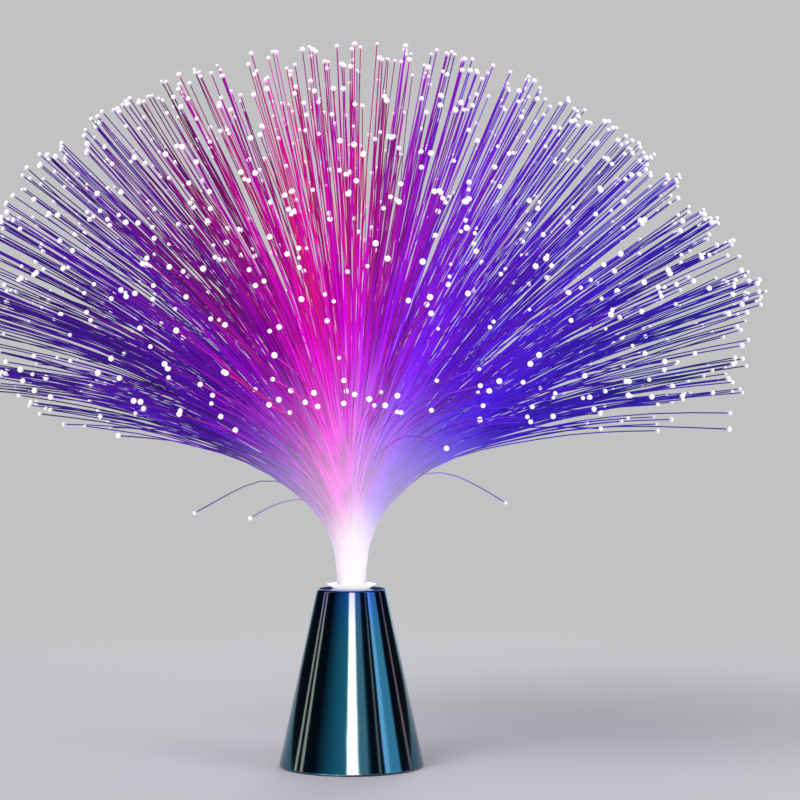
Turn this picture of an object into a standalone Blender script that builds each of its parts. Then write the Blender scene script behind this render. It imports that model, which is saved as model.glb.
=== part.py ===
"""Fiber optic lamp: a plated cone with cells, a switch and light diodes inside, and a spray of fibres on top.

Metres, +Z up. The origin is on the table, under the middle of the cone. The front of the lamp faces -Y.
"""
import math
import random

import bmesh
import bpy
from mathutils import Matrix, Vector
from mathutils.kdtree import KDTree

# Whole lamp
lamp_height = 0.358
piece_gap = 0.0003
cut_overrun = 0.001

# Facets of round pieces
shell_sides = 48
collar_sides = 36
cell_sides = 20
small_sides = 16
screw_sides = 10
corner_steps = 4

# Battery cells, size AAA, side by side along Y, each lying along X
cell_count = 3
cell_radius = 0.00525
cell_length = 0.0445
cell_edge = 0.0006
nub_radius = 0.0019
nub_height = 0.0009

# Sheet metal contacts at the ends of the cells
contact_thickness = 0.0004
contact_width = 0.0076
contact_headroom = 0.0014
tab_width = 0.0024
tab_rise = 0.0025

# Conical contact springs
spring_wire_radius = 0.0003
spring_wide_radius = 0.003
spring_narrow_radius = 0.002
spring_length = 0.0042
spring_turns = 3.5
spring_points_per_turn = 8

# Foot pads
pad_radius = 0.003
pad_height = 0.0012
pad_edge = 0.0004
pad_margin = 0.0012
pad_angles = (46, 134, 226, 314)

# Bottom plate with the battery bay
plate_thickness = 0.0026
bay_wall = 0.001
bay_roof = 0.001
bay_corner = 0.002
bay_side_gap = 0.0005
cradle_thickness = 0.0012
cradle_drop = 0.001
cradle_clearance = 0.0004
cradle_place_shares = (-0.5, 0.0, 0.5)

# Battery door
door_thickness = 0.0015
door_seat = 0.0013
door_corner = 0.0033
door_tab_half_width = 0.003
door_screw_inset = 0.0023
tongue_width = 0.004
tongue_thickness = 0.0012
tongue_reach = 0.0021
tongue_root = 0.0016
tongue_spread = 0.007
grip_count = 4
grip_width = 0.001
grip_length = 0.012
grip_depth = 0.0005
grip_pitch = 0.0022
grip_inset = 0.004

# Door screw and the post that it bites in
door_screw_head_radius = 0.0019
door_screw_head_height = 0.001
door_screw_shank_radius = 0.0009
door_screw_length = 0.0046
door_post_radius = 0.0027
door_post_cap = 0.0012
door_counterbore = 0.0007

# Plate screws and their posts
plate_screw_angles = (58, 122, 270)
plate_screw_head_radius = 0.0025
plate_screw_head_height = 0.0012
plate_screw_shank_radius = 0.0012
plate_screw_length = 0.009
plate_screw_seat = 0.001
post_radius = 0.0028
post_inset = 0.0075
rib_thickness = 0.0012
rib_rise = 0.001
rib_drop = 0.001

# Cone
cone_height = 0.088
cone_lift = 0.0007
cone_wall = 0.0018
cone_top_wall = 0.002
shoulder_radius = 0.0015
shoulder_margin = 0.0022
foot_edge_radius = 0.0004
rebate_wall = 0.001

# Collar and the potted foot of the fibres
core_radius = 0.0072
collar_wall = 0.0008
collar_depth = 0.0155
collar_step = 0.0008
collar_flare = 0.003
collar_flare_height = 0.0017
collar_rim_height = 0.0005
collar_dish_height = 0.0006

# Socket in the cone, and the posts of the light board
socket_wall = 0.0016
board_post_radius = 0.0024
board_post_offset = 0.0022

# Light board
board_thickness = 0.0012
board_margin = 0.0007
board_screw_head_radius = 0.0019
board_screw_head_height = 0.001
board_screw_shank_radius = 0.0009
board_screw_length = 0.007

# Light diodes
led_height = 0.0086
led_radius = 0.0025
led_flange_radius = 0.0029
led_flange_height = 0.001
led_circle = 0.0042
led_air = 0.001
lead_radius = 0.00025
lead_half_spacing = 0.00127
lead_tail = 0.0008
lead_sides = 6

# Resistors under the board
resistor_circle = 0.009
resistor_radius = 0.0011
resistor_half_length = 0.0023
resistor_lead_half_spacing = 0.0034
resistor_lead_radius = 0.0003
resistor_drop = 0.0018
resistor_neck = 0.0004
resistor_angles = (90, 210, 330)

# Slide switch
switch_half_length = 0.006
switch_half_width = 0.0034
switch_height = 0.0055
switch_side_gap = 0.0032
switch_travel = 0.0035
ear_reach = 0.0032
ear_thickness = 0.001
lug_spacing = 0.0035
lug_half_width = 0.0006
lug_half_thickness = 0.0003
lug_height = 0.002
slider_half_length = 0.0026
slider_half_width = 0.0023
slider_height = 0.002
stem_half_length = 0.0015
stem_half_width = 0.0015
knob_drop = 0.0007
ridge_depth = 0.0003
ridge_half_width = 0.00025
finger_half_length = 0.007
finger_half_width = 0.004
finger_depth = 0.0012
finger_corner = 0.0015
switch_screw_head_radius = 0.0013
switch_screw_head_height = 0.0008
switch_screw_shank_radius = 0.0006
switch_screw_length = 0.0022

# Inner leads
wire_radius = 0.0006
wire_points = 16
wire_arch = 0.012
wire_rise = 0.015
wire_board_circle = 0.0092
wire_switched_angle = 45
wire_negative_angle = 10

# Fibre spray
strand_rings = 8
spray_reach = 0.205
flare_angle = 86
flare_length = 0.08
neck_length = 0.026
neck_power = 1.5
droop_share = 0.14
droop_power = 12
edge_length_share = 0.93
edge_drop_share = 0.34
edge_drop_power = 22
edge_drop_least = 0.35
short_length_share = 0.86
strand_size_share = 0.8
tip_size_share = 0.62
station_shares = (0.11, 0.23)
outer_station_share = 0.45
outer_rings = 5
station_room = 0.0125
jitter_share = 0.022
jitter_length = 0.12
warp_size = 0.0016
warp_length = 0.11
warp_count = 4
warp_start = 0.09
stretch_start = 0.06
path_step = 0.002
stray_azimuths = (188, 352, 214, 78)
stray_length = 0.112
stray_length_shares = (1.0, 0.96, 0.74, 0.97)
stray_lean = 1.14
stray_push_shares = (0.05, 0.05, -0.05, -0.05)
stray_droop = 54
stray_droop_start = 0.55
stray_droop_end = 0.75
stray_station_shares = (0.45, 0.6, 0.73, 0.86)
spray_seed = 11

# Heights of the stack, from the table up
plate_bottom = pad_height + piece_gap
plate_top = plate_bottom + plate_thickness
door_top = plate_bottom + door_thickness
door_middle = plate_bottom + door_thickness / 2
seat_height = door_top + piece_gap
cell_axis = door_top + piece_gap + cell_radius
bay_ceiling = cell_axis + cell_radius + piece_gap
bay_top = bay_ceiling + bay_roof
ledge_height = plate_top + piece_gap
tab_top = bay_top + tab_rise
collar_low = cone_height - collar_depth
led_low = collar_low - led_air - led_height
board_top = led_low - piece_gap
board_low = board_top - board_thickness
socket_low = board_top + piece_gap
ceiling = cone_height - cone_top_wall
root_height = cone_height + piece_gap + collar_rim_height

# Middle of the outermost triangles of the strands' lattice, as a share of the core's radius
outermost_place = 1 - 1 / (3 * strand_rings)

# Battery bay and its door in plan
cell_pitch = 2 * cell_radius + piece_gap
bay_half_length = (cell_length + spring_length + 2 * contact_thickness + 5 * piece_gap) / 2
bay_half_width = (cell_count * cell_pitch + piece_gap) / 2
bay_reach = (
    math.hypot(bay_half_length - bay_corner, bay_half_width - bay_corner) + bay_corner + bay_wall
)
contact_place = bay_half_length - piece_gap - contact_thickness / 2
door_half_length = bay_half_length + door_seat - piece_gap
door_half_width = bay_half_width + door_seat - piece_gap
door_screw_place = door_half_length + door_screw_inset + piece_gap
hinge_place = -(door_half_length - door_thickness / 2)
tongue_low = door_top - piece_gap
tongue_top = tongue_low + tongue_thickness
tongue_tip = -(door_half_length + tongue_reach)
tongue_inner = -(door_half_length - tongue_root)
tongue_swing = math.hypot(tongue_tip - hinge_place, tongue_top - door_middle)
notch_top = door_middle + tongue_swing + piece_gap

# Round the bundle
collar_bore = core_radius + piece_gap
collar_radius = collar_bore + collar_wall
socket_bore = collar_radius + piece_gap
socket_radius = socket_bore + socket_wall
board_post_circle = socket_radius + board_post_offset
board_radius = board_post_circle + board_post_radius + board_margin

# The cone is as wide at its foot as the corners of the bay's roof need
cone_top_radius = board_post_circle + board_post_radius + shoulder_margin
bay_top_share = (bay_top - cone_lift) / (cone_height - cone_lift)
cone_foot_radius = (
    bay_reach + bay_side_gap + cone_wall - cone_top_radius * bay_top_share
) / (1 - bay_top_share)


def cone_radius(height):
    """Outer radius of the cone at a height above the table."""
    share = (height - cone_lift) / (cone_height - cone_lift)
    return cone_foot_radius + (cone_top_radius - cone_foot_radius) * share


rebate_radius = cone_radius(ledge_height) - rebate_wall
plate_radius = rebate_radius - piece_gap
post_circle = plate_radius - post_inset
post_edge_share = (cone_foot_radius - cone_wall / 2 - post_circle - post_radius) / (
    cone_foot_radius - cone_top_radius
)
post_top = cone_lift + (cone_height - cone_lift) * post_edge_share
pad_circle = plate_radius - pad_margin - pad_radius
switch_place = bay_half_width + bay_wall + switch_side_gap + switch_half_width
switch_low = plate_top + piece_gap
switch_top = switch_low + switch_height
slider_low = plate_top + piece_gap
slider_top = slider_low + slider_height
finger_top = plate_bottom + finger_depth
ear_screw_place = switch_half_length + ear_reach / 2


# Materials and mesh helpers
def finish(name, colour, roughness, metallic=0.0, glow=0.0, alpha=1.0):
    """A plain material: colour, roughness, metallic value and, where a piece is lit, its own light."""
    material = bpy.data.materials.new(name)
    material.use_nodes = True
    shader = material.node_tree.nodes["Principled BSDF"]
    shader.inputs["Base Color"].default_value = (*colour, 1)
    shader.inputs["Roughness"].default_value = roughness
    shader.inputs["Metallic"].default_value = metallic
    shader.inputs["Emission Color"].default_value = (*colour, 1)
    shader.inputs["Emission Strength"].default_value = glow
    shader.inputs["Alpha"].default_value = alpha
    material.diffuse_color = (*colour, 1)
    return material


def add_object(name, mesh, material=None):
    """Put a mesh in the scene as one named piece."""
    piece = bpy.data.objects.new(name, mesh)
    bpy.context.collection.objects.link(piece)
    if material:
        mesh.materials.clear()
        mesh.materials.append(material)
    return piece


def close_mesh(name, bm):
    """Merge doubles, point the faces outwards and write the bmesh to a new mesh."""
    bmesh.ops.remove_doubles(bm, verts=bm.verts, dist=piece_gap / 1000)
    bmesh.ops.recalc_face_normals(bm, faces=bm.faces)
    mesh = bpy.data.meshes.new(name)
    bm.to_mesh(mesh)
    bm.free()
    return mesh


def smooth(piece, angle=35):
    """Shade round faces smooth and keep the edges above the angle sharp."""
    piece.data.shade_smooth()
    piece.data.set_sharp_from_angle(angle=math.radians(angle))


def rounded(corners, steps=corner_steps):
    """Points of a closed outline: each corner is (x, y, fillet radius)."""
    points = []
    for index, (x, y, radius) in enumerate(corners):
        corner = Vector((x, y))
        if radius == 0:
            points.append(corner)
            continue
        before = (Vector(corners[index - 1][:2]) - corner).normalized()
        after = (Vector(corners[(index + 1) % len(corners)][:2]) - corner).normalized()
        half_angle = before.angle(after) / 2
        centre = corner + (before + after).normalized() * (radius / math.sin(half_angle))
        start = corner + before * (radius / math.tan(half_angle)) - centre
        end = corner + after * (radius / math.tan(half_angle)) - centre
        turn = math.atan2(start.x * end.y - start.y * end.x, start.dot(end))
        for step in range(steps + 1):
            points.append(centre + Matrix.Rotation(turn * step / steps, 2) @ start)
    return points


def box_outline(half_length, half_width, radius=0.0, centre=(0.0, 0.0)):
    """A rectangle round a centre, with rounded corners where a radius is given."""
    x, y = centre
    return rounded([
        (x - half_length, y - half_width, radius),
        (x + half_length, y - half_width, radius),
        (x + half_length, y + half_width, radius),
        (x - half_length, y + half_width, radius),
    ])


def circle_outline(radius, sides, centre=(0.0, 0.0)):
    """A regular polygon that stands for a circle."""
    turns = [2 * math.pi * index / sides for index in range(sides)]
    return [Vector((centre[0] + radius * math.cos(a), centre[1] + radius * math.sin(a))) for a in turns]


def turned(name, profile, sides, material=None):
    """Turn a closed profile of (radius, height) points round the Z axis."""
    bm = bmesh.new()
    ring = [bm.verts.new((radius, 0, height)) for radius, height in profile]
    edges = [bm.edges.new((ring[i - 1], ring[i])) for i in range(len(ring))]
    bmesh.ops.spin(
        bm, geom=ring + edges, cent=(0, 0, 0), axis=(0, 0, 1), angle=2 * math.pi, steps=sides, use_merge=True
    )
    bmesh.ops.dissolve_degenerate(bm, edges=bm.edges, dist=piece_gap / 1000)
    piece = add_object(name, close_mesh(name, bm), material)
    smooth(piece)
    return piece


def prism(name, outline, low, high, material=None, turn=None):
    """Raise an outline in the XY plane from one height to another; turn then stands it along another axis."""
    bm = bmesh.new()
    face = bm.faces.new([bm.verts.new((point[0], point[1], low)) for point in outline])
    raised = bmesh.ops.extrude_face_region(bm, geom=[face])
    tops = [item for item in raised["geom"] if isinstance(item, bmesh.types.BMVert)]
    bmesh.ops.translate(bm, verts=tops, vec=(0, 0, high - low))
    if turn:
        bm.transform(turn)
    return add_object(name, close_mesh(name, bm), material)


def box(name, x_range, y_range, z_range, material=None):
    """A block between two values on each axis."""
    outline = [(x_range[i], y_range[j]) for i, j in ((0, 0), (1, 0), (1, 1), (0, 1))]
    return prism(name, outline, *z_range, material)


# An outline drawn as (x, z) and raised along Y, and one drawn as (y, z) and raised along X
STAND_ALONG_Y = Matrix(((1, 0, 0, 0), (0, 0, 1, 0), (0, 1, 0, 0), (0, 0, 0, 1)))
STAND_ALONG_X = Matrix(((0, 0, 1, 0), (1, 0, 0, 0), (0, 1, 0, 0), (0, 0, 0, 1)))


def joined(tools):
    """Several closed shapes that don't touch, as one tool for a cut or a union."""
    first = tools[0]
    bm = bmesh.new()
    for tool in tools:
        part = tool.data.copy()
        part.transform(tool.matrix_basis)
        bm.from_mesh(part)
        bpy.data.meshes.remove(part)
    first.matrix_basis = Matrix()
    bm.to_mesh(first.data)
    bm.free()
    for tool in tools[1:]:
        bpy.data.objects.remove(tool)
    return first


def combine(piece, operation, *tools):
    """Add tools to a piece, cut them out of it, or keep what both hold, and take the tools away."""
    tool = joined(tools)
    modifier = piece.modifiers.new(operation, "BOOLEAN")
    modifier.operation = operation
    modifier.solver = "EXACT"
    modifier.object = tool
    evaluated = piece.evaluated_get(bpy.context.evaluated_depsgraph_get())
    result = bpy.data.meshes.new_from_object(evaluated)
    piece.modifiers.clear()
    piece.data = result
    bpy.data.objects.remove(tool)


def tube(name, points, radius, material, resolution=2, radii=None):
    """A round wire along points, closed at both ends."""
    curve = bpy.data.curves.new(name, "CURVE")
    curve.dimensions = "3D"
    curve.bevel_depth = radius
    curve.bevel_resolution = resolution
    curve.use_fill_caps = True
    curve.render_resolution_u = 0
    spline = curve.splines.new("POLY")
    spline.points.add(len(points) - 1)
    for index, point in enumerate(points):
        spline.points[index].co = (*point, 1)
        if radii:
            spline.points[index].radius = radii[index] / radius
    piece = bpy.data.objects.new(name, curve)
    bpy.context.collection.objects.link(piece)
    curve.materials.append(material)
    return piece


def polar(radius, degrees):
    """A place in plan, by its distance from the lamp's axis and its angle."""
    return Vector((radius * math.cos(math.radians(degrees)), radius * math.sin(math.radians(degrees)), 0))


def empty(name, place):
    """A frame of its own for a moving group, on its joint's axis."""
    holder = bpy.data.objects.new(name, None)
    holder.location = place
    bpy.context.collection.objects.link(holder)
    return holder


def ride(piece, holder):
    """Hang a piece, modelled in the lamp's frame, on a moving group's frame."""
    piece.data.transform(Matrix.Translation(-holder.location))
    piece.parent = holder


# Cone
def make_cone_shell():
    """The turned shell with its socket, the posts of the light board and of the bottom plate, and their ribs."""
    profile = rounded([
        (cone_foot_radius, cone_lift, foot_edge_radius),
        (cone_top_radius, cone_height, shoulder_radius),
        (socket_bore, cone_height, 0),
        (socket_bore, socket_low, 0),
        (socket_radius, socket_low, 0),
        (socket_radius, ceiling, 0),
        (cone_radius(ceiling) - cone_wall, ceiling, 0),
        (cone_radius(ledge_height) - cone_wall, ledge_height, 0),
        (rebate_radius, ledge_height, 0),
        (rebate_radius, cone_lift, 0),
    ])
    shell = turned("cone_shell", profile, shell_sides, plating)
    for degrees in (0, 180):
        x, y, _ = polar(board_post_circle, degrees)
        outline = circle_outline(board_post_radius, small_sides, (x, y))
        combine(shell, "UNION", prism("board_post", outline, socket_low, ceiling + cut_overrun))
    for degrees in plate_screw_angles:
        x, y, _ = polar(post_circle, degrees)
        outline = circle_outline(post_radius, small_sides, (x, y))
        combine(shell, "UNION", prism("plate_post", outline, ledge_height, post_top))
        rib_low = ledge_height + rib_rise
        rib_high = post_top - rib_drop
        rib = prism("rib", [
            (post_circle, rib_low),
            (cone_radius(rib_low) - cone_wall / 2, rib_low),
            (cone_radius(rib_high) - cone_wall / 2, rib_high),
            (post_circle, rib_high),
        ], -rib_thickness / 2, rib_thickness / 2, turn=STAND_ALONG_Y)
        rib.data.transform(Matrix.Rotation(math.radians(degrees), 4, "Z"))
        combine(shell, "UNION", rib)
    bores = []
    for degrees in plate_screw_angles:
        x, y, _ = polar(post_circle, degrees)
        outline = circle_outline(plate_screw_shank_radius + piece_gap, screw_sides, (x, y))
        top = plate_bottom + plate_thickness - plate_screw_seat + plate_screw_length + cut_overrun
        bores.append(prism("bore", outline, ledge_height - cut_overrun, top))
    for degrees in (0, 180):
        x, y, _ = polar(board_post_circle, degrees)
        outline = circle_outline(board_screw_shank_radius + piece_gap, screw_sides, (x, y))
        bores.append(prism("bore", outline, socket_low - cut_overrun, board_low + board_screw_length + cut_overrun))
    combine(shell, "DIFFERENCE", *bores)
    smooth(shell)


# Bottom plate
def door_outline(clearance):
    """Plan of the door, or of its recess when the clearance is zero. The hinged end is square, to swing freely."""
    length = door_half_length + piece_gap - clearance
    width = door_half_width + piece_gap - clearance
    tab = door_tab_half_width - clearance
    tab_end = door_screw_place + door_tab_half_width - clearance
    corner = door_corner - clearance
    return rounded([
        (-length, -width, 0),
        (length, -width, corner),
        (length, -tab, 0),
        (tab_end, -tab, tab - piece_gap),
        (tab_end, tab, tab - piece_gap),
        (length, tab, 0),
        (length, width, corner),
        (-length, width, 0),
    ])


def make_bottom_plate():
    """The round plate, the battery bay that stands on it, and everything that is cut through it."""
    plate = prism("bottom_plate", circle_outline(plate_radius, shell_sides), plate_bottom, plate_top, black_plastic)
    outer = box_outline(bay_half_length + bay_wall, bay_half_width + bay_wall, bay_corner + bay_wall)
    combine(plate, "UNION", prism("bay", outer, plate_bottom + cut_overrun, bay_top))
    post = circle_outline(door_post_radius, small_sides, (door_screw_place, 0))
    post_low = plate_bottom + cut_overrun
    shank_top = plate_bottom + door_counterbore + door_screw_length
    combine(plate, "UNION", prism("door_post", post, post_low, shank_top + door_post_cap + piece_gap))
    inner = box_outline(bay_half_length, bay_half_width, bay_corner)
    combine(plate, "DIFFERENCE", prism("bay_room", inner, plate_bottom - cut_overrun, bay_ceiling))
    combine(plate, "DIFFERENCE", prism("recess", door_outline(0), plate_bottom - cut_overrun, seat_height))
    for share in cradle_place_shares:
        middle = share * cell_length
        cradle = box(
            "cradle",
            (middle - cradle_thickness / 2, middle + cradle_thickness / 2),
            (-bay_half_width - bay_wall / 2, bay_half_width + bay_wall / 2),
            (cell_axis + cradle_drop, bay_ceiling + bay_roof / 2),
        )
        for index in range(cell_count):
            room = circle_outline(cell_radius + cradle_clearance, cell_sides, (cell_place(index), cell_axis))
            low, high = middle - cradle_thickness, middle + cradle_thickness
            combine(cradle, "DIFFERENCE", prism("cell_room", room, low, high, turn=STAND_ALONG_X))
        combine(plate, "UNION", cradle)
    cuts = []
    for side in (-1, 1):
        middle = side * tongue_spread
        half = tongue_width / 2 + piece_gap
        cuts.append(box(
            "notch",
            (tongue_tip - piece_gap, tongue_inner + piece_gap),
            (middle - half, middle + half),
            (tongue_low - piece_gap, notch_top),
        ))
    cuts.append(prism(
        "shank_bore", circle_outline(door_screw_shank_radius + piece_gap, screw_sides, (door_screw_place, 0)),
        seat_height - cut_overrun, shank_top + piece_gap,
    ))
    for degrees in plate_screw_angles:
        x, y, _ = polar(post_circle, degrees)
        hole = circle_outline(plate_screw_shank_radius + piece_gap, screw_sides, (x, y))
        cuts.append(prism("screw_hole", hole, plate_bottom - cut_overrun, plate_top + cut_overrun))
    for degrees in plate_screw_angles:
        x, y, _ = polar(post_circle, degrees)
        sink = circle_outline(plate_screw_head_radius + piece_gap, small_sides, (x, y))
        combine(plate, "DIFFERENCE", prism("sink", sink, plate_bottom - cut_overrun, plate_top - plate_screw_seat))
    finger = box_outline(finger_half_length, finger_half_width, finger_corner, (0, switch_place))
    combine(plate, "DIFFERENCE", prism("finger", finger, plate_bottom - cut_overrun, finger_top))
    slot = box_outline(
        stem_half_length + switch_travel / 2 + piece_gap, stem_half_width + piece_gap, 0, (0, switch_place)
    )
    cuts.append(prism("slot", slot, plate_bottom - cut_overrun, plate_top + cut_overrun))
    for side in (-1, 1):
        hole = circle_outline(
            switch_screw_shank_radius + piece_gap, screw_sides, (side * ear_screw_place, switch_place)
        )
        cuts.append(prism("peg_hole", hole, plate_top - plate_thickness / 2, plate_top + cut_overrun))
    for side, index in ((-1, 0), (1, cell_count - 1)):
        middle = side * contact_place
        half = contact_thickness / 2 + piece_gap
        tab = tab_width / 2 + piece_gap
        cuts.append(box(
            "tab_slot", (middle - half, middle + half), (cell_place(index) - tab, cell_place(index) + tab),
            (bay_ceiling - cut_overrun, bay_top + cut_overrun),
        ))
    combine(plate, "DIFFERENCE", *cuts)
    smooth(plate)


def cell_place(index):
    """The Y value of a cell's axis."""
    return (index - (cell_count - 1) / 2) * cell_pitch


def make_battery_door(holder):
    """The door: round at its hinged end, with two tongues there, grip grooves and a tab for its screw."""
    end = door_screw_place + door_tab_half_width
    half = door_thickness / 2
    side = rounded([
        (hinge_place - half, plate_bottom, half),
        (end, plate_bottom, 0),
        (end, door_top, 0),
        (hinge_place - half, door_top, half),
    ])
    width = door_half_width + cut_overrun
    door = prism("battery_door", side, -width, width, black_plastic, turn=STAND_ALONG_Y)
    low = plate_bottom - cut_overrun
    combine(door, "INTERSECT", prism("plan", door_outline(piece_gap), low, door_top + cut_overrun))
    for sign in (-1, 1):
        middle = sign * tongue_spread
        combine(door, "UNION", box(
            "tongue", (tongue_tip, tongue_inner), (middle - tongue_width / 2, middle + tongue_width / 2),
            (tongue_low, tongue_top),
        ))
    hole = circle_outline(door_screw_shank_radius + piece_gap, screw_sides, (door_screw_place, 0))
    cuts = [prism("hole", hole, plate_bottom - cut_overrun, door_top + cut_overrun)]
    for index in range(grip_count):
        middle = door_half_length - grip_inset - index * grip_pitch
        groove = box_outline(grip_width / 2, grip_length / 2, 0, (middle, 0))
        cuts.append(prism("groove", groove, plate_bottom - cut_overrun, plate_bottom + grip_depth))
    combine(door, "DIFFERENCE", *cuts)
    sink = circle_outline(door_screw_head_radius + piece_gap, small_sides, (door_screw_place, 0))
    combine(door, "DIFFERENCE", prism("sink", sink, plate_bottom - cut_overrun, plate_bottom + door_counterbore))
    smooth(door)
    ride(door, holder)


# Screws
def make_screw(name, place, head_radius, head_height, shank_radius, length, upside_down=False):
    """A pan head screw whose head bears at the place and whose shank points up, or down."""
    edge = head_height / 3
    profile = [
        (0, -head_height),
        (head_radius - edge, -head_height),
        (head_radius, edge - head_height),
        (head_radius, 0),
        (shank_radius, 0),
        (shank_radius, length - shank_radius),
        (0, length),
    ]
    screw = turned(name, profile, screw_sides, steel)
    screw.location = place
    if upside_down:
        screw.rotation_euler = (math.pi, 0, 0)
    return screw


def make_screws(door_holder):
    """All the screws, each bearing on what it holds."""
    for index, degrees in enumerate(plate_screw_angles):
        place = polar(post_circle, degrees)
        place.z = plate_top - plate_screw_seat - piece_gap
        make_screw(
            f"plate_screw_{index + 1}", place, plate_screw_head_radius, plate_screw_head_height,
            plate_screw_shank_radius, plate_screw_length,
        )
    for index, degrees in enumerate((0, 180)):
        place = polar(board_post_circle, degrees)
        place.z = board_low - piece_gap
        make_screw(
            f"board_screw_{index + 1}", place, board_screw_head_radius, board_screw_head_height,
            board_screw_shank_radius, board_screw_length,
        )
    for index, side in enumerate((-1, 1)):
        place = (side * ear_screw_place, switch_place, switch_low + ear_thickness + piece_gap)
        make_screw(
            f"switch_screw_{index + 1}", place, switch_screw_head_radius, switch_screw_head_height,
            switch_screw_shank_radius, switch_screw_length, upside_down=True,
        )
    place = Vector((door_screw_place, 0, plate_bottom + door_counterbore - piece_gap))
    screw = make_screw(
        "door_screw", place - door_holder.location, door_screw_head_radius, door_screw_head_height,
        door_screw_shank_radius, door_screw_length,
    )
    screw.parent = door_holder


# Feet, cells and contacts
def make_foot_pads():
    """Four soft discs under the plate."""
    profile = [
        (0, 0), (pad_radius - pad_edge, 0), (pad_radius, pad_edge), (pad_radius, pad_height), (0, pad_height),
    ]
    for index, degrees in enumerate(pad_angles):
        turned(f"foot_pad_{index + 1}", profile, small_sides, rubber).location = polar(pad_circle, degrees)


def cell_faces_left(index):
    """Every other cell has its positive end at -X, so that the row is in series."""
    return index % 2 == 0


def make_cells():
    """Cells along X, each turned end for end from its neighbour."""
    profile = [
        (0, 0), (cell_radius - cell_edge, 0), (cell_radius, cell_edge),
        (cell_radius, cell_length - nub_height - cell_edge), (cell_radius - cell_edge, cell_length - nub_height),
        (nub_radius, cell_length - nub_height), (nub_radius, cell_length), (0, cell_length),
    ]
    for index in range(cell_count):
        cell = turned(f"battery_cell_{index + 1}", profile, cell_sides, cell_jacket)
        side = -1 if cell_faces_left(index) else 1
        start = side * (contact_place - contact_thickness / 2 - piece_gap - cell_length)
        cell.location = (start, cell_place(index), cell_axis)
        cell.rotation_euler = (0, side * math.pi / 2, 0)


def make_contact(name, side, first, last, with_tab):
    """A sheet metal plate at one end of the bay, behind one cell or two, with a tab where a lead is soldered."""
    low = notch_top + piece_gap
    high = bay_ceiling - contact_headroom
    left = cell_place(first) - contact_width / 2
    right = cell_place(last) + contact_width / 2
    outline = [(left, low), (right, low), (right, high)]
    if with_tab:
        middle = (left + right) / 2
        outline += [
            (middle + tab_width / 2, high), (middle + tab_width / 2, tab_top),
            (middle - tab_width / 2, tab_top), (middle - tab_width / 2, high),
        ]
    outline.append((left, high))
    middle = side * contact_place
    half = contact_thickness / 2
    prism(name, outline, middle - half, middle + half, nickel, turn=STAND_ALONG_X)


def make_contacts():
    """The four contacts: two that lead out and two that join neighbours."""
    make_contact("positive_contact", -1, 0, 0, True)
    make_contact("link_contact_front", 1, 0, 1, False)
    make_contact("link_contact_rear", -1, 1, 2, False)
    make_contact("negative_contact", 1, 2, 2, True)


def make_contact_springs():
    """Conical springs between the cells' flat ends and the contacts, wide at the contact."""
    for index in range(cell_count):
        side = 1 if cell_faces_left(index) else -1
        wide_end = contact_place - contact_thickness / 2 - piece_gap - spring_wire_radius
        run = spring_length - 2 * spring_wire_radius
        points = []
        count = int(spring_turns * spring_points_per_turn)
        for step in range(count + 1):
            share = step / count
            turn = 2 * math.pi * spring_turns * share
            radius = spring_wide_radius + (spring_narrow_radius - spring_wide_radius) * share
            points.append((
                side * (wide_end - run * share),
                cell_place(index) + radius * math.cos(turn),
                cell_axis + radius * math.sin(turn),
            ))
        tube(f"contact_spring_{index + 1}", points, spring_wire_radius, nickel, resolution=0)
    pitch = run / spring_turns
    print(f"contact springs: least gap between turns {(pitch - 2 * spring_wire_radius) * 1000:.2f} mm")


# Switch
def make_switch():
    """The body with its ears and lugs; the slider and its finger piece are the knob."""
    body = prism(
        "switch_body", box_outline(switch_half_length, switch_half_width, 0, (0, switch_place)),
        switch_low, switch_top, steel,
    )
    length = switch_half_length + ear_reach
    ears = box_outline(length, switch_half_width - piece_gap, ear_thickness, (0, switch_place))
    combine(body, "UNION", prism("ears", ears, switch_low, switch_low + ear_thickness))
    combine(body, "UNION", *[
        box(
            "lug", (step * lug_spacing - lug_half_width, step * lug_spacing + lug_half_width),
            (switch_place - lug_half_thickness, switch_place + lug_half_thickness),
            (switch_top - ear_thickness, switch_top + lug_height),
        )
        for step in (-1, 0, 1)
    ])
    room = box_outline(
        slider_half_length + switch_travel / 2 + piece_gap, slider_half_width + piece_gap, 0, (0, switch_place)
    )
    cuts = [prism("room", room, switch_low - cut_overrun, slider_top + piece_gap)]
    for side in (-1, 1):
        hole = circle_outline(
            switch_screw_shank_radius + piece_gap, screw_sides, (side * ear_screw_place, switch_place)
        )
        cuts.append(prism("ear_hole", hole, switch_low - cut_overrun, switch_low + ear_thickness + cut_overrun))
    combine(body, "DIFFERENCE", *cuts)
    smooth(body)

    holder = empty("switch_slide", (-switch_travel / 2, switch_place, slider_low))
    knob = box(
        "switch_knob", (-slider_half_length, slider_half_length), (-slider_half_width, slider_half_width),
        (0, slider_height), black_plastic,
    )
    tip = plate_bottom - knob_drop - slider_low
    outline = [(stem_half_length, slider_height / 2), (-stem_half_length, slider_height / 2), (-stem_half_length, tip)]
    for step in (-1, 0, 1):
        middle = step * stem_half_length * 2 / 3
        outline += [
            (middle - ridge_half_width, tip), (middle, tip + ridge_depth), (middle + ridge_half_width, tip),
        ]
    outline.append((stem_half_length, tip))
    combine(knob, "UNION", prism("stem", outline, -stem_half_width, stem_half_width, turn=STAND_ALONG_Y))
    knob.parent = holder


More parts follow.
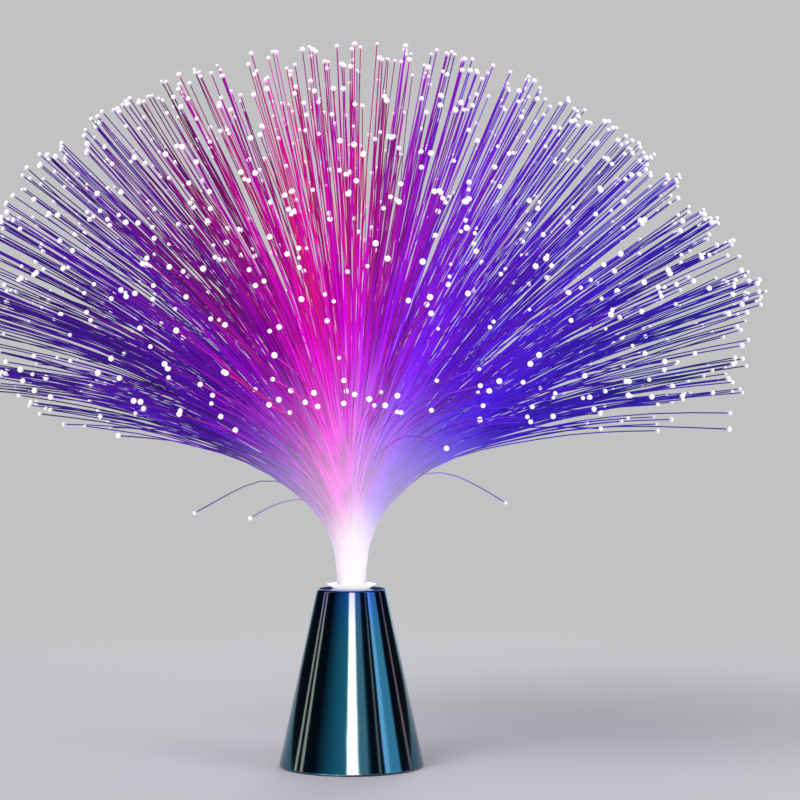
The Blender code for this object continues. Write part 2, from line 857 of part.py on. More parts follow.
# Light source
def make_led(name, degrees, lens):
    """A round light diode with its two leads."""
    dome = [
        (led_radius * math.cos(math.radians(a)), led_height - led_radius * (1 - math.sin(math.radians(a))))
        for a in (0, 30, 60)
    ]
    profile = [
        (0, 0), (led_flange_radius, 0), (led_flange_radius, led_flange_height), (led_radius, led_flange_height),
        *dome, (0, led_height),
    ]
    led = turned(name, profile, small_sides, lens)
    tail = -(piece_gap + board_thickness + lead_tail)
    combine(led, "UNION", *[
        prism(
            "lead", circle_outline(lead_radius, lead_sides, (side * lead_half_spacing, 0)),
            tail, led_flange_height / 2,
        )
        for side in (-1, 1)
    ])
    smooth(led)
    led.location = polar(led_circle, degrees) + Vector((0, 0, led_low))
    led.rotation_euler = (0, 0, math.radians(degrees + 90))


led_places = {"led_red": 180, "led_green": 300, "led_blue": 60}


def make_led_board():
    """The round board with holes for screws and leads."""
    board = prism("led_board", circle_outline(board_radius, collar_sides), board_low, board_top, board_green)
    low = board_low - cut_overrun
    high = board_top + cut_overrun
    cuts = []
    for degrees in (0, 180):
        place = polar(board_post_circle, degrees)
        hole = circle_outline(board_screw_shank_radius + piece_gap, screw_sides, place)
        cuts.append(prism("hole", hole, low, high))
    rows = [(led_circle, lead_half_spacing, angle, lead_radius) for angle in led_places.values()]
    rows += [
        (resistor_circle, resistor_lead_half_spacing, angle, resistor_lead_radius) for angle in resistor_angles
    ]
    for circle, half_spacing, degrees, radius in rows:
        for side in (-1, 1):
            place = polar(circle, degrees) + side * polar(half_spacing, degrees + 90)
            cuts.append(prism("hole", circle_outline(radius + piece_gap, lead_sides, place), low, high))
    combine(board, "DIFFERENCE", *cuts)
    smooth(board)


def make_resistors():
    """Three small resistors under the board, their leads bent up through it."""
    for index, degrees in enumerate(resistor_angles):
        along = polar(1, degrees + 90)
        middle = polar(resistor_circle, degrees) + Vector((0, 0, board_low - resistor_drop))
        up = board_low + board_thickness / 2 - middle.z
        half = resistor_lead_half_spacing
        shape = [
            (-half, up, resistor_lead_radius),
            (-half, resistor_lead_radius, resistor_lead_radius),
            (-resistor_half_length - resistor_neck, 0, resistor_lead_radius),
            (-resistor_half_length, 0, resistor_radius),
            (resistor_half_length, 0, resistor_radius),
            (resistor_half_length + resistor_neck, 0, resistor_lead_radius),
            (half, resistor_lead_radius, resistor_lead_radius),
            (half, up, resistor_lead_radius),
        ]
        points = [middle + along * step + Vector((0, 0, rise)) for step, rise, _ in shape]
        tube(
            f"resistor_{index + 1}", points, resistor_lead_radius, resistor_tan,
            resolution=1, radii=[radius for _, _, radius in shape],
        )


# Inner leads
def lead_route(start, end, start_pull, end_pull):
    """A smooth curve from a tab or lug, straight up at first, to its other end."""
    up = Vector((0, 0, 1))
    handles = [start, start + up * start_pull, end + up * end_pull, end]
    points = []
    for step in range(wire_points):
        t = step / (wire_points - 1)
        weights = ((1 - t) ** 3, 3 * (1 - t) ** 2 * t, 3 * (1 - t) * t ** 2, t ** 3)
        points.append(sum((weight * handle for weight, handle in zip(weights, handles)), Vector((0, 0, 0))))
    return points


def make_wires():
    """Contact to switch, switch to board and contact to board."""
    above_tab = tab_top + piece_gap
    above_lug = switch_top + lug_height + piece_gap
    below_board = board_low - piece_gap
    positive = Vector((-contact_place, cell_place(0), above_tab))
    negative = Vector((contact_place, cell_place(cell_count - 1), above_tab))
    first_lug = Vector((-lug_spacing, switch_place, above_lug))
    second_lug = Vector((0, switch_place, above_lug))
    switched_pad = polar(wire_board_circle, wire_switched_angle) + Vector((0, 0, below_board))
    negative_pad = polar(wire_board_circle, wire_negative_angle) + Vector((0, 0, below_board))
    tube("wire_positive", lead_route(positive, first_lug, wire_arch, wire_arch), wire_radius, red_pvc)
    tube("wire_switched", lead_route(second_lug, switched_pad, wire_rise, -wire_rise), wire_radius, red_pvc)
    tube("wire_negative", lead_route(negative, negative_pad, wire_rise, -wire_rise), wire_radius, black_pvc)


# Collar and fibres
def make_collar(holder):
    """The flared ring: a sleeve in the socket, a step on the cone's top face and a shallow dish above it."""
    bearing = cone_height + piece_gap
    rim = collar_radius + collar_step + collar_flare
    rim_low = bearing + collar_flare_height
    profile = rounded([
        (collar_bore, collar_low, 0),
        (collar_radius, collar_low, 0),
        (collar_radius, bearing, 0),
        (collar_radius + collar_step, bearing, 0),
        (rim, rim_low, collar_rim_height / 3),
        (rim, rim_low + collar_rim_height, collar_rim_height / 3),
        (collar_radius + collar_step, bearing + collar_dish_height + collar_rim_height / 2, 0),
        (collar_bore, bearing + collar_rim_height, 0),
    ], steps=2)
    ride(turned("collar", profile, collar_sides, milky_plastic), holder)


def disc_lattice():
    """Rings of places in a unit disc, and the triangles between them, each with the ring that it lies in."""
    places = [Vector((0, 0))]
    rings = [[0]]
    for ring in range(1, strand_rings + 1):
        count = 6 * ring
        rings.append(list(range(len(places), len(places) + count)))
        for index in range(count):
            turn = 2 * math.pi * index / count
            places.append(Vector((math.cos(turn), math.sin(turn))) * ring / strand_rings)
    triangles = []
    for ring in range(1, strand_rings + 1):
        inner, outer = rings[ring - 1], rings[ring]
        for sector in range(6):
            for step in range(ring):
                a = outer[(sector * ring + step) % len(outer)]
                b = outer[(sector * ring + step + 1) % len(outer)]
                c = inner[(sector * (ring - 1) + step) % len(inner)]
                triangles.append(((a, b, c), ring))
                if step < ring - 1:
                    d = inner[(sector * (ring - 1) + step + 1) % len(inner)]
                    triangles.append(((b, d, c), ring))
    return places, triangles, rings[-1]


def ease(value):
    """Rise smoothly from 0 to 1."""
    value = min(max(value, 0.0), 1.0)
    return value * value * (3 - 2 * value)


def bend_angle(distance):
    """Angle from upright of the outermost strand at a distance from the root, in radians."""
    flare = 1 - math.exp(-distance / flare_length)
    neck = 1 - math.exp(-((distance / neck_length) ** neck_power))
    return math.radians(flare_angle) * flare * neck


def strand_path(place, length, stray=False):
    """Distances, points and directions along the strand that starts at a place in the unit disc."""
    share = place.length / outermost_place
    outward = place.normalized() if share else Vector((1, 0))
    lean = stray_lean if stray else share + droop_share * share ** droop_power
    radius = place.length * core_radius
    height = 0.0
    path = [(0.0, Vector((outward.x * radius, outward.y * radius, 0)), Vector((0, 0, 1)))]
    steps = math.ceil(length / path_step)
    for step in range(1, steps + 1):
        distance = length * step / steps
        angle = lean * bend_angle(distance)
        if stray:
            drooped = (distance / length - stray_droop_start) / (stray_droop_end - stray_droop_start)
            angle += math.radians(stray_droop) * ease(drooped)
        radius += math.sin(angle) * length / steps
        height += math.cos(angle) * length / steps
        direction = Vector((outward.x * math.sin(angle), outward.y * math.sin(angle), math.cos(angle)))
        path.append((distance, Vector((outward.x * radius, outward.y * radius, height)), direction))
    return path


def make_warp(source):
    """A gentle sideways sway of the whole spray, made of a few long waves."""
    waves = []
    for _ in range(warp_count):
        push = Vector([source.uniform(-1, 1) for _ in range(3)]).normalized() * warp_size
        wave = Vector([source.uniform(-1, 1) for _ in range(3)]).normalized() * (2 * math.pi / warp_length)
        waves.append((push, wave, source.uniform(0, 2 * math.pi)))

    def warp(point, distance):
        sway = sum((push * math.sin(wave.dot(point) + phase) for push, wave, phase in waves), Vector((0, 0, 0)))
        return point + sway * ease(distance / warp_start)

    return warp


def strand_stations(path, shares, place, warp):
    """Points and directions of a strand at shares of the full length, and at its tip."""
    full = lamp_height - root_height
    wanted = [share * full for share in shares if share * full < path[-1][0] - station_room]
    wanted.append(path[-1][0])
    stations = []
    for distance in wanted:
        index = min(range(len(path)), key=lambda i: abs(path[i][0] - distance))
        at, point, direction = path[index]
        stations.append((at, warp(point, at), direction))
    return stations


def make_fibre_spray(holder):
    """A potted core whose top carries one three-sided strand for each triangle of a round lattice.

    Neighbours share their root edges, so core and strands are one closed body, and then part: each follows
    its own course of one family of curves that fan out without crossing.
    """
    source = random.Random(spray_seed)
    places, triangles, rim = disc_lattice()
    warp = make_warp(source)
    full = lamp_height - root_height
    strands = []
    for corners, ring in triangles:
        place = sum((places[corner] for corner in corners), Vector((0, 0))) / 3
        share = place.length / outermost_place
        azimuth = math.degrees(math.atan2(place.y, place.x)) % 360
        push = Vector((source.uniform(-1, 1), source.uniform(-1, 1))) * jitter_share
        shortness = source.random() ** 3
        drop = edge_drop_least + (1 - edge_drop_least) * source.random()
        length = full * (1 - (1 - edge_length_share) * share ** 2)
        length *= 1 - (1 - short_length_share) * shortness
        length *= 1 - edge_drop_share * share ** edge_drop_power * drop
        strands.append({
            "corners": corners, "ring": ring, "place": place, "azimuth": azimuth,
            "push": push, "length": length, "stray": 0,
        })
    outer = [strand for strand in strands if strand["ring"] == strand_rings]
    for stray_azimuth, length_share, push_share in zip(stray_azimuths, stray_length_shares, stray_push_shares):
        nearest = min(outer, key=lambda item: (abs(item["azimuth"] - stray_azimuth), -item["place"].length))
        nearest["stray"] = length_share
        nearest["push"] = Vector((-nearest["place"].y, nearest["place"].x)) * push_share
    for strand in strands:
        place, length, stray = strand["place"], strand["length"], strand["stray"] > 0
        shares = list(station_shares)
        if stray:
            length = stray_length * strand["stray"]
            shares = [station_shares[0]] + [share * length / full for share in stray_station_shares]
        elif strand["ring"] > strand_rings - outer_rings:
            shares.append(outer_station_share)
        path = strand_path(place + strand["push"], length, stray)
        straight = strand_path(place, length, stray)
        blend = [ease(at / jitter_length) for at, _, _ in path]
        path = [
            (at, straight[i][1].lerp(point, blend[i]), direction)
            for i, (at, point, direction) in enumerate(path)
        ]
        strand["stations"] = strand_stations(path, shares, place, warp)
    fit_reach(strands)
    mesh_spray(places, strands, rim, holder)
    print_least_gap(strands)


def fit_reach(strands):
    """Stretch each side of the spray so that it meets the named reach and height."""
    tips = [strand["stations"][-1][1] for strand in strands]
    high = max(tip.z for tip in tips)
    reach = {(axis, sign): max(sign * tip[axis] for tip in tips) for axis in (0, 1) for sign in (-1, 1)}
    for strand in strands:
        fitted = []
        for distance, point, direction in strand["stations"]:
            weight = ease(distance / stretch_start)
            moved = point.copy()
            for axis in (0, 1):
                sign = 1 if point[axis] > 0 else -1
                moved[axis] *= 1 + (spray_reach / reach[axis, sign] - 1) * weight
            moved.z *= 1 + ((lamp_height - root_height) / high - 1) * weight
            fitted.append((distance, moved, direction))
        strand["stations"] = fitted


def mesh_spray(places, strands, rim, holder):
    """Build the core and the strands as one closed mesh."""
    bm = bmesh.new()
    roots = [bm.verts.new((*(place * core_radius), root_height)) for place in places]
    low = [bm.verts.new((*(places[index] * core_radius), collar_low)) for index in rim]
    for i, j in zip(range(len(rim)), [*range(1, len(rim)), 0]):
        bm.faces.new((low[i], low[j], roots[rim[j]], roots[rim[i]]))
    bm.faces.new(reversed(low))
    for strand in strands:
        middle = strand["place"] * core_radius
        offsets = [places[corner] * core_radius - middle for corner in strand["corners"]]
        below = [roots[corner] for corner in strand["corners"]]
        count = len(strand["stations"])
        for index, (_, point, direction) in enumerate(strand["stations"]):
            size = strand_size_share + (tip_size_share - strand_size_share) * index / (count - 1)
            turn = Vector((0, 0, 1)).rotation_difference(direction)
            centre = point + Vector((0, 0, root_height))
            above = [bm.verts.new(centre + turn @ Vector((*offset, 0)) * size) for offset in offsets]
            for i, j in ((0, 1), (1, 2), (2, 0)):
                bm.faces.new((below[i], below[j], above[j], above[i]))
            below = above
        bm.faces.new(below)
    bmesh.ops.recalc_face_normals(bm, faces=bm.faces)
    mesh = bpy.data.meshes.new("fibre_spray")
    bm.to_mesh(mesh)
    bm.free()
    ride(add_object("fibre_spray", mesh, clear_fibre), holder)


def print_least_gap(strands):
    """Measure the least distance between the middles of two strands, past their first station."""
    samples = []
    for number, strand in enumerate(strands):
        points = [point for _, point, _ in strand["stations"]]
        for start, end in zip(points, points[1:]):
            count = max(2, math.ceil((end - start).length / path_step))
            samples += [(start.lerp(end, step / count), number) for step in range(count + 1)]
    tree = KDTree(len(samples))
    for index, (point, _) in enumerate(samples):
        tree.insert(point, index)
    tree.balance()
    least = spray_reach
    for point, number in samples:
        for near, index, distance in tree.find_n(point, 12):
            if samples[index][1] != number:
                least = min(least, distance)
    print(f"fibre spray: {len(strands)} strands, least distance between two middles {least * 1000:.2f} mm")


# The lamp
for old in list(bpy.data.objects):
    bpy.data.objects.remove(old)

plating = finish("teal_plating", (0.03, 0.12, 0.17), 0.08, metallic=1.0)
black_plastic = finish("black_plastic", (0.02, 0.02, 0.024), 0.45)
rubber = finish("foot_rubber", (0.03, 0.03, 0.03), 0.8)
steel = finish("zinc_steel", (0.55, 0.56, 0.58), 0.35, metallic=1.0)
nickel = finish("nickel_sheet", (0.62, 0.6, 0.55), 0.25, metallic=1.0)
cell_jacket = finish("cell_jacket", (0.05, 0.14, 0.3), 0.35)
milky_plastic = finish("milky_plastic", (0.85, 0.87, 0.92), 0.4, glow=0.3)
clear_fibre = finish("clear_fibre", (0.62, 0.3, 0.9), 0.15, glow=0.6)
board_green = finish("board_green", (0.03, 0.22, 0.1), 0.5)
red_lens = finish("red_lens", (0.8, 0.05, 0.05), 0.2, glow=1.0)
green_lens = finish("green_lens", (0.05, 0.7, 0.12), 0.2, glow=1.0)
blue_lens = finish("blue_lens", (0.06, 0.12, 0.9), 0.2, glow=1.0)
resistor_tan = finish("resistor_tan", (0.6, 0.45, 0.28), 0.6)
red_pvc = finish("red_pvc", (0.6, 0.03, 0.03), 0.45)
black_pvc = finish("black_pvc", (0.015, 0.015, 0.015), 0.45)

bundle_holder = empty("bundle_lift", (0, 0, cone_height))
door_holder = empty("door_hinge", (hinge_place, 0, door_middle))

make_cone_shell()
make_bottom_plate()
make_battery_door(door_holder)
make_screws(door_holder)
make_foot_pads()
make_cells()
make_contacts()
make_contact_springs()
make_switch()
for led_name, led_lens in (("led_red", red_lens), ("led_green", green_lens), ("led_blue", blue_lens)):
    make_led(led_name, led_places[led_name], led_lens)
make_led_board()
make_resistors()
make_wires()
make_collar(bundle_holder)
make_fibre_spray(bundle_holder)

print(f"cone: foot radius {cone_foot_radius * 1000:.2f} mm, top radius {cone_top_radius * 1000:.2f} mm")
print(f"door hinge at x {hinge_place * 1000:.3f}, z {door_middle * 1000:.3f} mm")
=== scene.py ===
# %% [markdown]
# # A fiber optic lamp
#
# The lamp is a plated cone with cells, a switch and light diodes inside, a flared collar on top, and a wide
# spray of thin clear fibres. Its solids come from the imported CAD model, which is loaded here as a fixed frame.
# This lesson dresses that frame: it makes the smooth and fine pieces again, and gives every surface a finish.

# %% Load the frame
import math
import random

import bmesh
import bpy
from mathutils import Matrix, Vector
from mathutils.geometry import interpolate_bezier


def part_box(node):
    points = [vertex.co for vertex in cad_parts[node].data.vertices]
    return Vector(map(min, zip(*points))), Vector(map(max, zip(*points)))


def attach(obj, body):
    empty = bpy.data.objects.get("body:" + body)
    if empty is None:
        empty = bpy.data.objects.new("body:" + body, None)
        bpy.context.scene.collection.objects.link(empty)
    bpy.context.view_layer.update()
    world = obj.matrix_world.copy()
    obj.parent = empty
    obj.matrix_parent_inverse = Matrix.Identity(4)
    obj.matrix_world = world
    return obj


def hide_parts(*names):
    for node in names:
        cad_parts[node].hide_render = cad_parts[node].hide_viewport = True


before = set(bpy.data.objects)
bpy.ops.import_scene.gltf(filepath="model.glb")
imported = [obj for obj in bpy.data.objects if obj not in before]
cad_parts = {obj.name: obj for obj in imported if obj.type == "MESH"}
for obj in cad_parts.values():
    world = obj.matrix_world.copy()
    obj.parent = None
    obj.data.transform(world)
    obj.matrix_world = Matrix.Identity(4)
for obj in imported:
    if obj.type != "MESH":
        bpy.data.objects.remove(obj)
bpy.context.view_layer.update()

# %% [markdown]
# ## The camera
#
# The photograph looks straight ahead, without tilt, from about half the lamp's height: the verticals stay
# upright and the foot of the cone is a flat ellipse. A camera that isn't tilted, set a little to the right of
# the lamp, gives the same picture without any lens shift. The lens follows from the scale of the picture.

# %% Place the camera
photo_side = 800
metres_per_pixel = 0.0004966
camera_distance = 1.15
sensor_width = 36.0
foot_column, foot_row = 351.5, 765.5

camera_data = bpy.data.cameras.new("camera")
camera_data.sensor_width = sensor_width
camera_data.lens = sensor_width * camera_distance / (photo_side * metres_per_pixel)
camera = bpy.data.objects.new("camera", camera_data)
camera.location = (
    (photo_side / 2 - foot_column) * metres_per_pixel,
    -camera_distance,
    (foot_row - photo_side / 2) * metres_per_pixel,
)
camera.rotation_euler = (math.pi / 2, 0, 0)
bpy.context.scene.collection.objects.link(camera)
bpy.context.scene.camera = camera
print(f"lens {camera_data.lens:.0f} mm, camera {camera.location.z * 1000:.0f} mm above the table")

# %% [markdown]
# ## Sums on wires
#
# Node trees hold many small sums. Placing each Math node by hand hides what is worked out, so a wire is wrapped
# in a class whose plus, minus and times each place one Math node. The sums below then read like formulas, and
# the same helpers serve geometry trees and shader trees.


# %% Wires that can be added and multiplied
class Wire:
    """An output of a node. A sum with it places a Math node and gives that node's output."""

    def __init__(self, socket):
        self.socket = socket
        self.tree = socket.id_data

    def math(self, operation, *others):
        node = self.tree.nodes.new("ShaderNodeMath")
        node.operation = operation
        for socket, value in zip(node.inputs, (self, *others)):
            connect(value, socket)
        return Wire(node.outputs[0])

    def __add__(self, other):
        return self.math("ADD", other)

    def __sub__(self, other):
        return self.math("SUBTRACT", other)

    def __rsub__(self, other):
        return self.math("MULTIPLY_ADD", -1.0, other)

    def __mul__(self, other):
        return self.math("MULTIPLY", other)

    def __truediv__(self, other):
        return self.math("DIVIDE", other)

    def __pow__(self, other):
        return self.math("POWER", other)

    __radd__ = __add__
    __rmul__ = __mul__


def connect(value, socket):
    """Plug a wire into an input, or write a plain value there."""
    if isinstance(value, Wire):
        socket.id_data.links.new(value.socket, socket)
    else:
        socket.default_value = value


# %% Nodes, groups and their inputs
def place(tree, kind, plugs=None, **settings):
    """Add a node, set its own settings and fill the inputs named or numbered in plugs."""
    node = tree.nodes.new(kind)
    for name, value in settings.items():
        setattr(node, name, value)
    for key, value in (plugs or {}).items():
        connect(value, node.inputs[key])
    return node


def wire(node, key=0):
    """One output of a node as a wire."""
    return Wire(node.outputs[key])


def ease(value, start, end, low=0.0, high=1.0):
    """A smooth rise from low to high while the value goes from start to end."""
    node = place(value.tree, "ShaderNodeMapRange", interpolation_type="SMOOTHSTEP")
    for socket, plug in zip(node.inputs, (value, start, end, low, high)):
        connect(plug, socket)
    return wire(node)


def blend(tree, factor, first, second, mode="MIX"):
    """Mix two colours; a plain colour may have three values."""
    plugs = {0: factor}
    for key, colour in ((6, first), (7, second)):
        plugs[key] = colour if isinstance(colour, Wire) else (*colour, 1)
    return wire(place(tree, "ShaderNodeMix", plugs, data_type="RGBA", blend_type=mode), 2)


def grey(value):
    """A number as a grey colour."""
    return wire(place(value.tree, "ShaderNodeCombineColor", {0: value, 1: value, 2: value}))


def vector_sum(operation, first, second=None, key=0):
    """A sum on vectors, and the output of it that the key names."""
    plugs = {0: first} if second is None else {0: first, 1: second}
    return wire(place(first.tree, "ShaderNodeVectorMath", plugs, operation=operation), key)


def scaled(vector, factor):
    """A vector times a number."""
    return wire(place(vector.tree, "ShaderNodeVectorMath", {0: vector, "Scale": factor}, operation="SCALE"))


def coordinate(vector, axis):
    """One coordinate of a vector."""
    return wire(place(vector.tree, "ShaderNodeSeparateXYZ", {0: vector}), axis)


def object_spot(tree):
    """The place on a piece, in metres."""
    return wire(tree.nodes.new("ShaderNodeTexCoord"), "Object")


def noise(spot, scale, **settings):
    """The value of a soft noise at a spot."""
    return wire(place(spot.tree, "ShaderNodeTexNoise", {"Vector": spot, "Scale": scale, **settings}), "Fac")


def bare_tree(owner):
    """The node tree of a material or a world, emptied."""
    owner.use_nodes = True
    owner.node_tree.nodes.clear()
    return owner.node_tree


def new_tree(name, kind, inputs, outputs):
    """A node group with named inputs (name, socket kind, value); gives the tree, its input wires and its end."""
    tree = bpy.data.node_groups.new(name, kind)
    for label, socket_kind, value in inputs:
        socket = tree.interface.new_socket(label, in_out="INPUT", socket_type="NodeSocket" + socket_kind)
        if value is not None:
            socket.default_value = value
    for label, socket_kind in outputs:
        tree.interface.new_socket(label, in_out="OUTPUT", socket_type="NodeSocket" + socket_kind)
    start = tree.nodes.new("NodeGroupInput")
    wires = {label: wire(start, label) for label, _, _ in inputs}
    return tree, wires, tree.nodes.new("NodeGroupOutput")


# %% From sketches and trees to plain meshes
def add_piece(name, mesh):
    """Put a mesh in the scene as one piece at the origin."""
    piece = bpy.data.objects.new(name, mesh)
    bpy.context.scene.collection.objects.link(piece)
    return piece


def to_mesh(name, bm):
    """End a bmesh and give its mesh."""
    mesh = bpy.data.meshes.new(name)
    bm.to_mesh(mesh)
    bm.free()
    return mesh


def smooth_shaded(mesh, sharp_angle=30):
    """Shade a mesh smooth, with its edges sharp above an angle in degrees."""
    mesh.shade_smooth()
    mesh.set_sharp_from_angle(angle=math.radians(sharp_angle))
    return mesh


def baked(piece):
    """The mesh of a piece after its modifiers."""
    return bpy.data.meshes.new_from_object(piece.evaluated_get(bpy.context.evaluated_depsgraph_get()))


def grow(name, tree, values, mesh=None):
    """Run a geometry tree on a mesh, with its inputs set by name, and keep the result as a plain mesh."""
    piece = add_piece(name, mesh or bpy.data.meshes.new(name))
    modifier = piece.modifiers.new("grow", "NODES")
    modifier.node_group = tree
    for item in tree.interface.items_tree:
        if item.item_type == "SOCKET" and item.in_out == "INPUT" and item.name in values:
            modifier[item.identifier] = values[item.name]
    result = baked(piece)
    piece.modifiers.remove(modifier)
    piece.data = result
    print(f"{name}: {sum(len(face.vertices) - 2 for face in result.polygons)} triangles")
    return piece


def settle(piece, body, slot, *nodes):
    """Say which body a piece moves with and which CAD nodes it stands for; the slot is not used."""
    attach(piece, body)
    if nodes:
        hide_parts(*nodes)


# %% [markdown]
# ## Light that runs in the fibres
#
# Three diodes shine up into the potted foot of the bundle. The left of the spray carries violet and magenta, the
# right blue, and close to the collar all the colours mix to white. So the colour of a spot depends on the
# direction from the root of the bundle and on the distance along the fibre, and one shader group works it out
# from Object coordinates. Neighbouring fibres share their light in streaks, which a noise of the direction gives.

# %% Group: colour of the light by direction
root_height = 0.0888
full_length = 0.2692

light_tree, light_in, light_out = new_tree(
    "Light By Direction", "ShaderNodeTree", [("Shade", "Float", 0.5)], [("Colour", "Color")]
)
from_root = vector_sum("SUBTRACT", object_spot(light_tree), (0, 0, root_height))
heading = vector_sum("NORMALIZE", from_root)
sideways = coordinate(heading, "X") * 0.5 + 0.5
along = vector_sum("LENGTH", from_root, key="Value") / full_length
shade = light_in["Shade"]

direction_colours = [
    # share of the way from far left to far right, and colour
    (0.00, (0.035, 0.006, 0.240)),
    (0.12, (0.055, 0.005, 0.340)),
    (0.24, (0.100, 0.003, 0.470)),
    (0.33, (0.280, 0.002, 0.520)),
    (0.41, (0.760, 0.002, 0.660)),
    (0.47, (0.900, 0.002, 0.740)),
    (0.53, (0.660, 0.004, 0.840)),
    (0.60, (0.270, 0.010, 0.860)),
    (0.74, (0.085, 0.010, 0.760)),
    (0.88, (0.035, 0.010, 0.460)),
    (1.00, (0.020, 0.010, 0.270)),
]
ramp = place(light_tree, "ShaderNodeValToRGB", {0: sideways + (shade - 0.5) * 0.10})
stops = ramp.color_ramp.elements
while len(stops) < len(direction_colours):
    stops.new(0.5)
for stop, (position, colour) in zip(stops, direction_colours):
    stop.position = position
    stop.color = (*colour, 1)

# %% Group: streaks, and the white near the collar
red_share, pale_pink = (1.0, 1.0, 0.22), (1.0, 0.92, 0.97)
streak = noise(heading, 7.0, Detail=2.0)
brightness = (
    ease(streak, 0.36, 0.62, 0.50, 1.2) * ease(along, 0.30, 0.85, 1.0, 0.70) * ease(shade, 0.0, 1.0, 0.8, 1.15)
)
hue = blend(light_tree, 1.0, wire(ramp), grey(brightness), "MULTIPLY")
elsewhere = wire(place(light_tree, "ShaderNodeMapping", {0: heading, "Location": (3.0, 1.0, 2.0)}))
red_streak = noise(elsewhere, 6.0)
redness = ease(along, 0.40, 0.75) * ease(red_streak, 0.42, 0.58, 0.15, 0.95)
redness = redness * ease(sideways, 0.50, 0.62, 1.0, 0.0) * ease(sideways, 0.22, 0.34)
crimson = blend(light_tree, redness, hue, blend(light_tree, 1.0, hue, red_share, "MULTIPLY"))
reach = along + (sideways - 0.53).math("ABSOLUTE") * 0.30
whiteness = ease(reach, 0.08, 0.22, 0.5, 0.0) + ease(reach, 0.12, 0.52, 0.5, 0.0)
connect(blend(light_tree, whiteness, crimson, pale_pink), light_out.inputs["Colour"])

# %% [markdown]
# ## Finishes shared by several pieces
#
# Moulded plastic, rubber and insulation all have a fine grain, coarser or finer. Plated and bare metal all show
# small rubs and faint cloudy patches. Each of the two is one group with its own scale and strength, placed in
# each material. The groups give only values; the shader stays in the material.


# %% Group: grain and clouds on a surface
def surface_group(name, cloud_share, roughness_middle, tones, noise_settings):
    """A group that gives a fine height, and a roughness and a tone that change in soft clouds."""
    tree, given, out = new_tree(
        name, "ShaderNodeTree",
        [("Scale", "Float", 1000.0), ("Roughness", "Float", 0.4), ("Spread", "Float", 0.1)],
        [("Height", "Float"), ("Roughness", "Float"), ("Tone", "Color")],
    )
    spot = object_spot(tree)
    cloud = noise(spot, given["Scale"] * cloud_share, Detail=4.0)
    connect(noise(spot, given["Scale"], **noise_settings), out.inputs["Height"])
    connect(given["Roughness"] + (cloud - roughness_middle) * given["Spread"], out.inputs["Roughness"])
    connect(grey(ease(cloud, 0.3, 0.72, *tones)), out.inputs["Tone"])
    return tree


moulded_grain = surface_group("Moulded Grain", 0.03, 0.5, (0.85, 1.15), {"Detail": 3.0})
rubbed_metal = surface_group(
    "Rubbed Metal", 0.12, 0.4, (1.08, 0.82), {"Detail": 5.0, "Roughness": 0.7, "Distortion": 0.6}
)


# %% Materials from those groups
def new_material(name):
    """An empty material and its Principled shader."""
    material = bpy.data.materials.new(name)
    material.use_nodes = True
    return material, material.node_tree.nodes["Principled BSDF"]


def surface(name, colour, group, scale, roughness, spread, bump, metallic=0.0, coat=0.0):
    """A material whose roughness, tone and bump come from one of the shared groups."""
    material, shader = new_material(name)
    tree = material.node_tree
    values = place(tree, "ShaderNodeGroup", node_tree=group)
    for key, value in (("Scale", scale), ("Roughness", roughness), ("Spread", spread)):
        values.inputs[key].default_value = value
    connect(blend(tree, 1.0, colour, wire(values, "Tone"), "MULTIPLY"), shader.inputs["Base Color"])
    connect(wire(values, "Roughness"), shader.inputs["Roughness"])
    if bump:
        relief = place(tree, "ShaderNodeBump", {"Height": wire(values, "Height"), "Distance": bump})
        connect(wire(relief), shader.inputs["Normal"])
    shader.inputs["Metallic"].default_value = metallic
    shader.inputs["Coat Weight"].default_value = coat
    shader.inputs["Coat Roughness"].default_value = 0.05
    return material


finishes = {
    # colour, group, scale of the grain, roughness and its spread, height of the bump in metres
    "black_plastic": surface("black_plastic", (0.024, 0.024, 0.028), moulded_grain, 2600, 0.42, 0.12, 0.00003),
    "foot_rubber": surface("foot_rubber", (0.032, 0.032, 0.032), moulded_grain, 1800, 0.80, 0.10, 0.00006),
    "zinc_steel": surface("zinc_steel", (0.56, 0.57, 0.59), rubbed_metal, 900, 0.30, 0.20, 0.00001, metallic=1.0),
    "nickel_sheet": surface("nickel_sheet", (0.64, 0.62, 0.57), rubbed_metal, 700, 0.22, 0.18, 0.00001, metallic=1.0),
    "board_green": surface("board_green", (0.02, 0.17, 0.08), moulded_grain, 900, 0.40, 0.15, 0.00001, coat=0.4),
    "resistor_tan": surface("resistor_tan", (0.60, 0.45, 0.28), moulded_grain, 1500, 0.50, 0.10, 0.00002),
    "red_pvc": surface("red_pvc", (0.60, 0.03, 0.03), moulded_grain, 1200, 0.42, 0.08, 0.00001),
    "black_pvc": surface("black_pvc", (0.015, 0.015, 0.015), moulded_grain, 1200, 0.42, 0.08, 0.00001),
}
print("shared finishes:", ", ".join(finishes))


# %% [markdown]
# ## Guides from the frame
#
# The frame's spray has a few hundred coarse strands, each a row of small triangles from the potted foot to its
# tip. They say how the real spray falls, so the fine fibres are grown along them and not by a second rule that
# could drift away from the solids. The middles of a strand's triangles give the points of its guide. They are
# found by walking from the root of the strand to its tip, ring by ring.

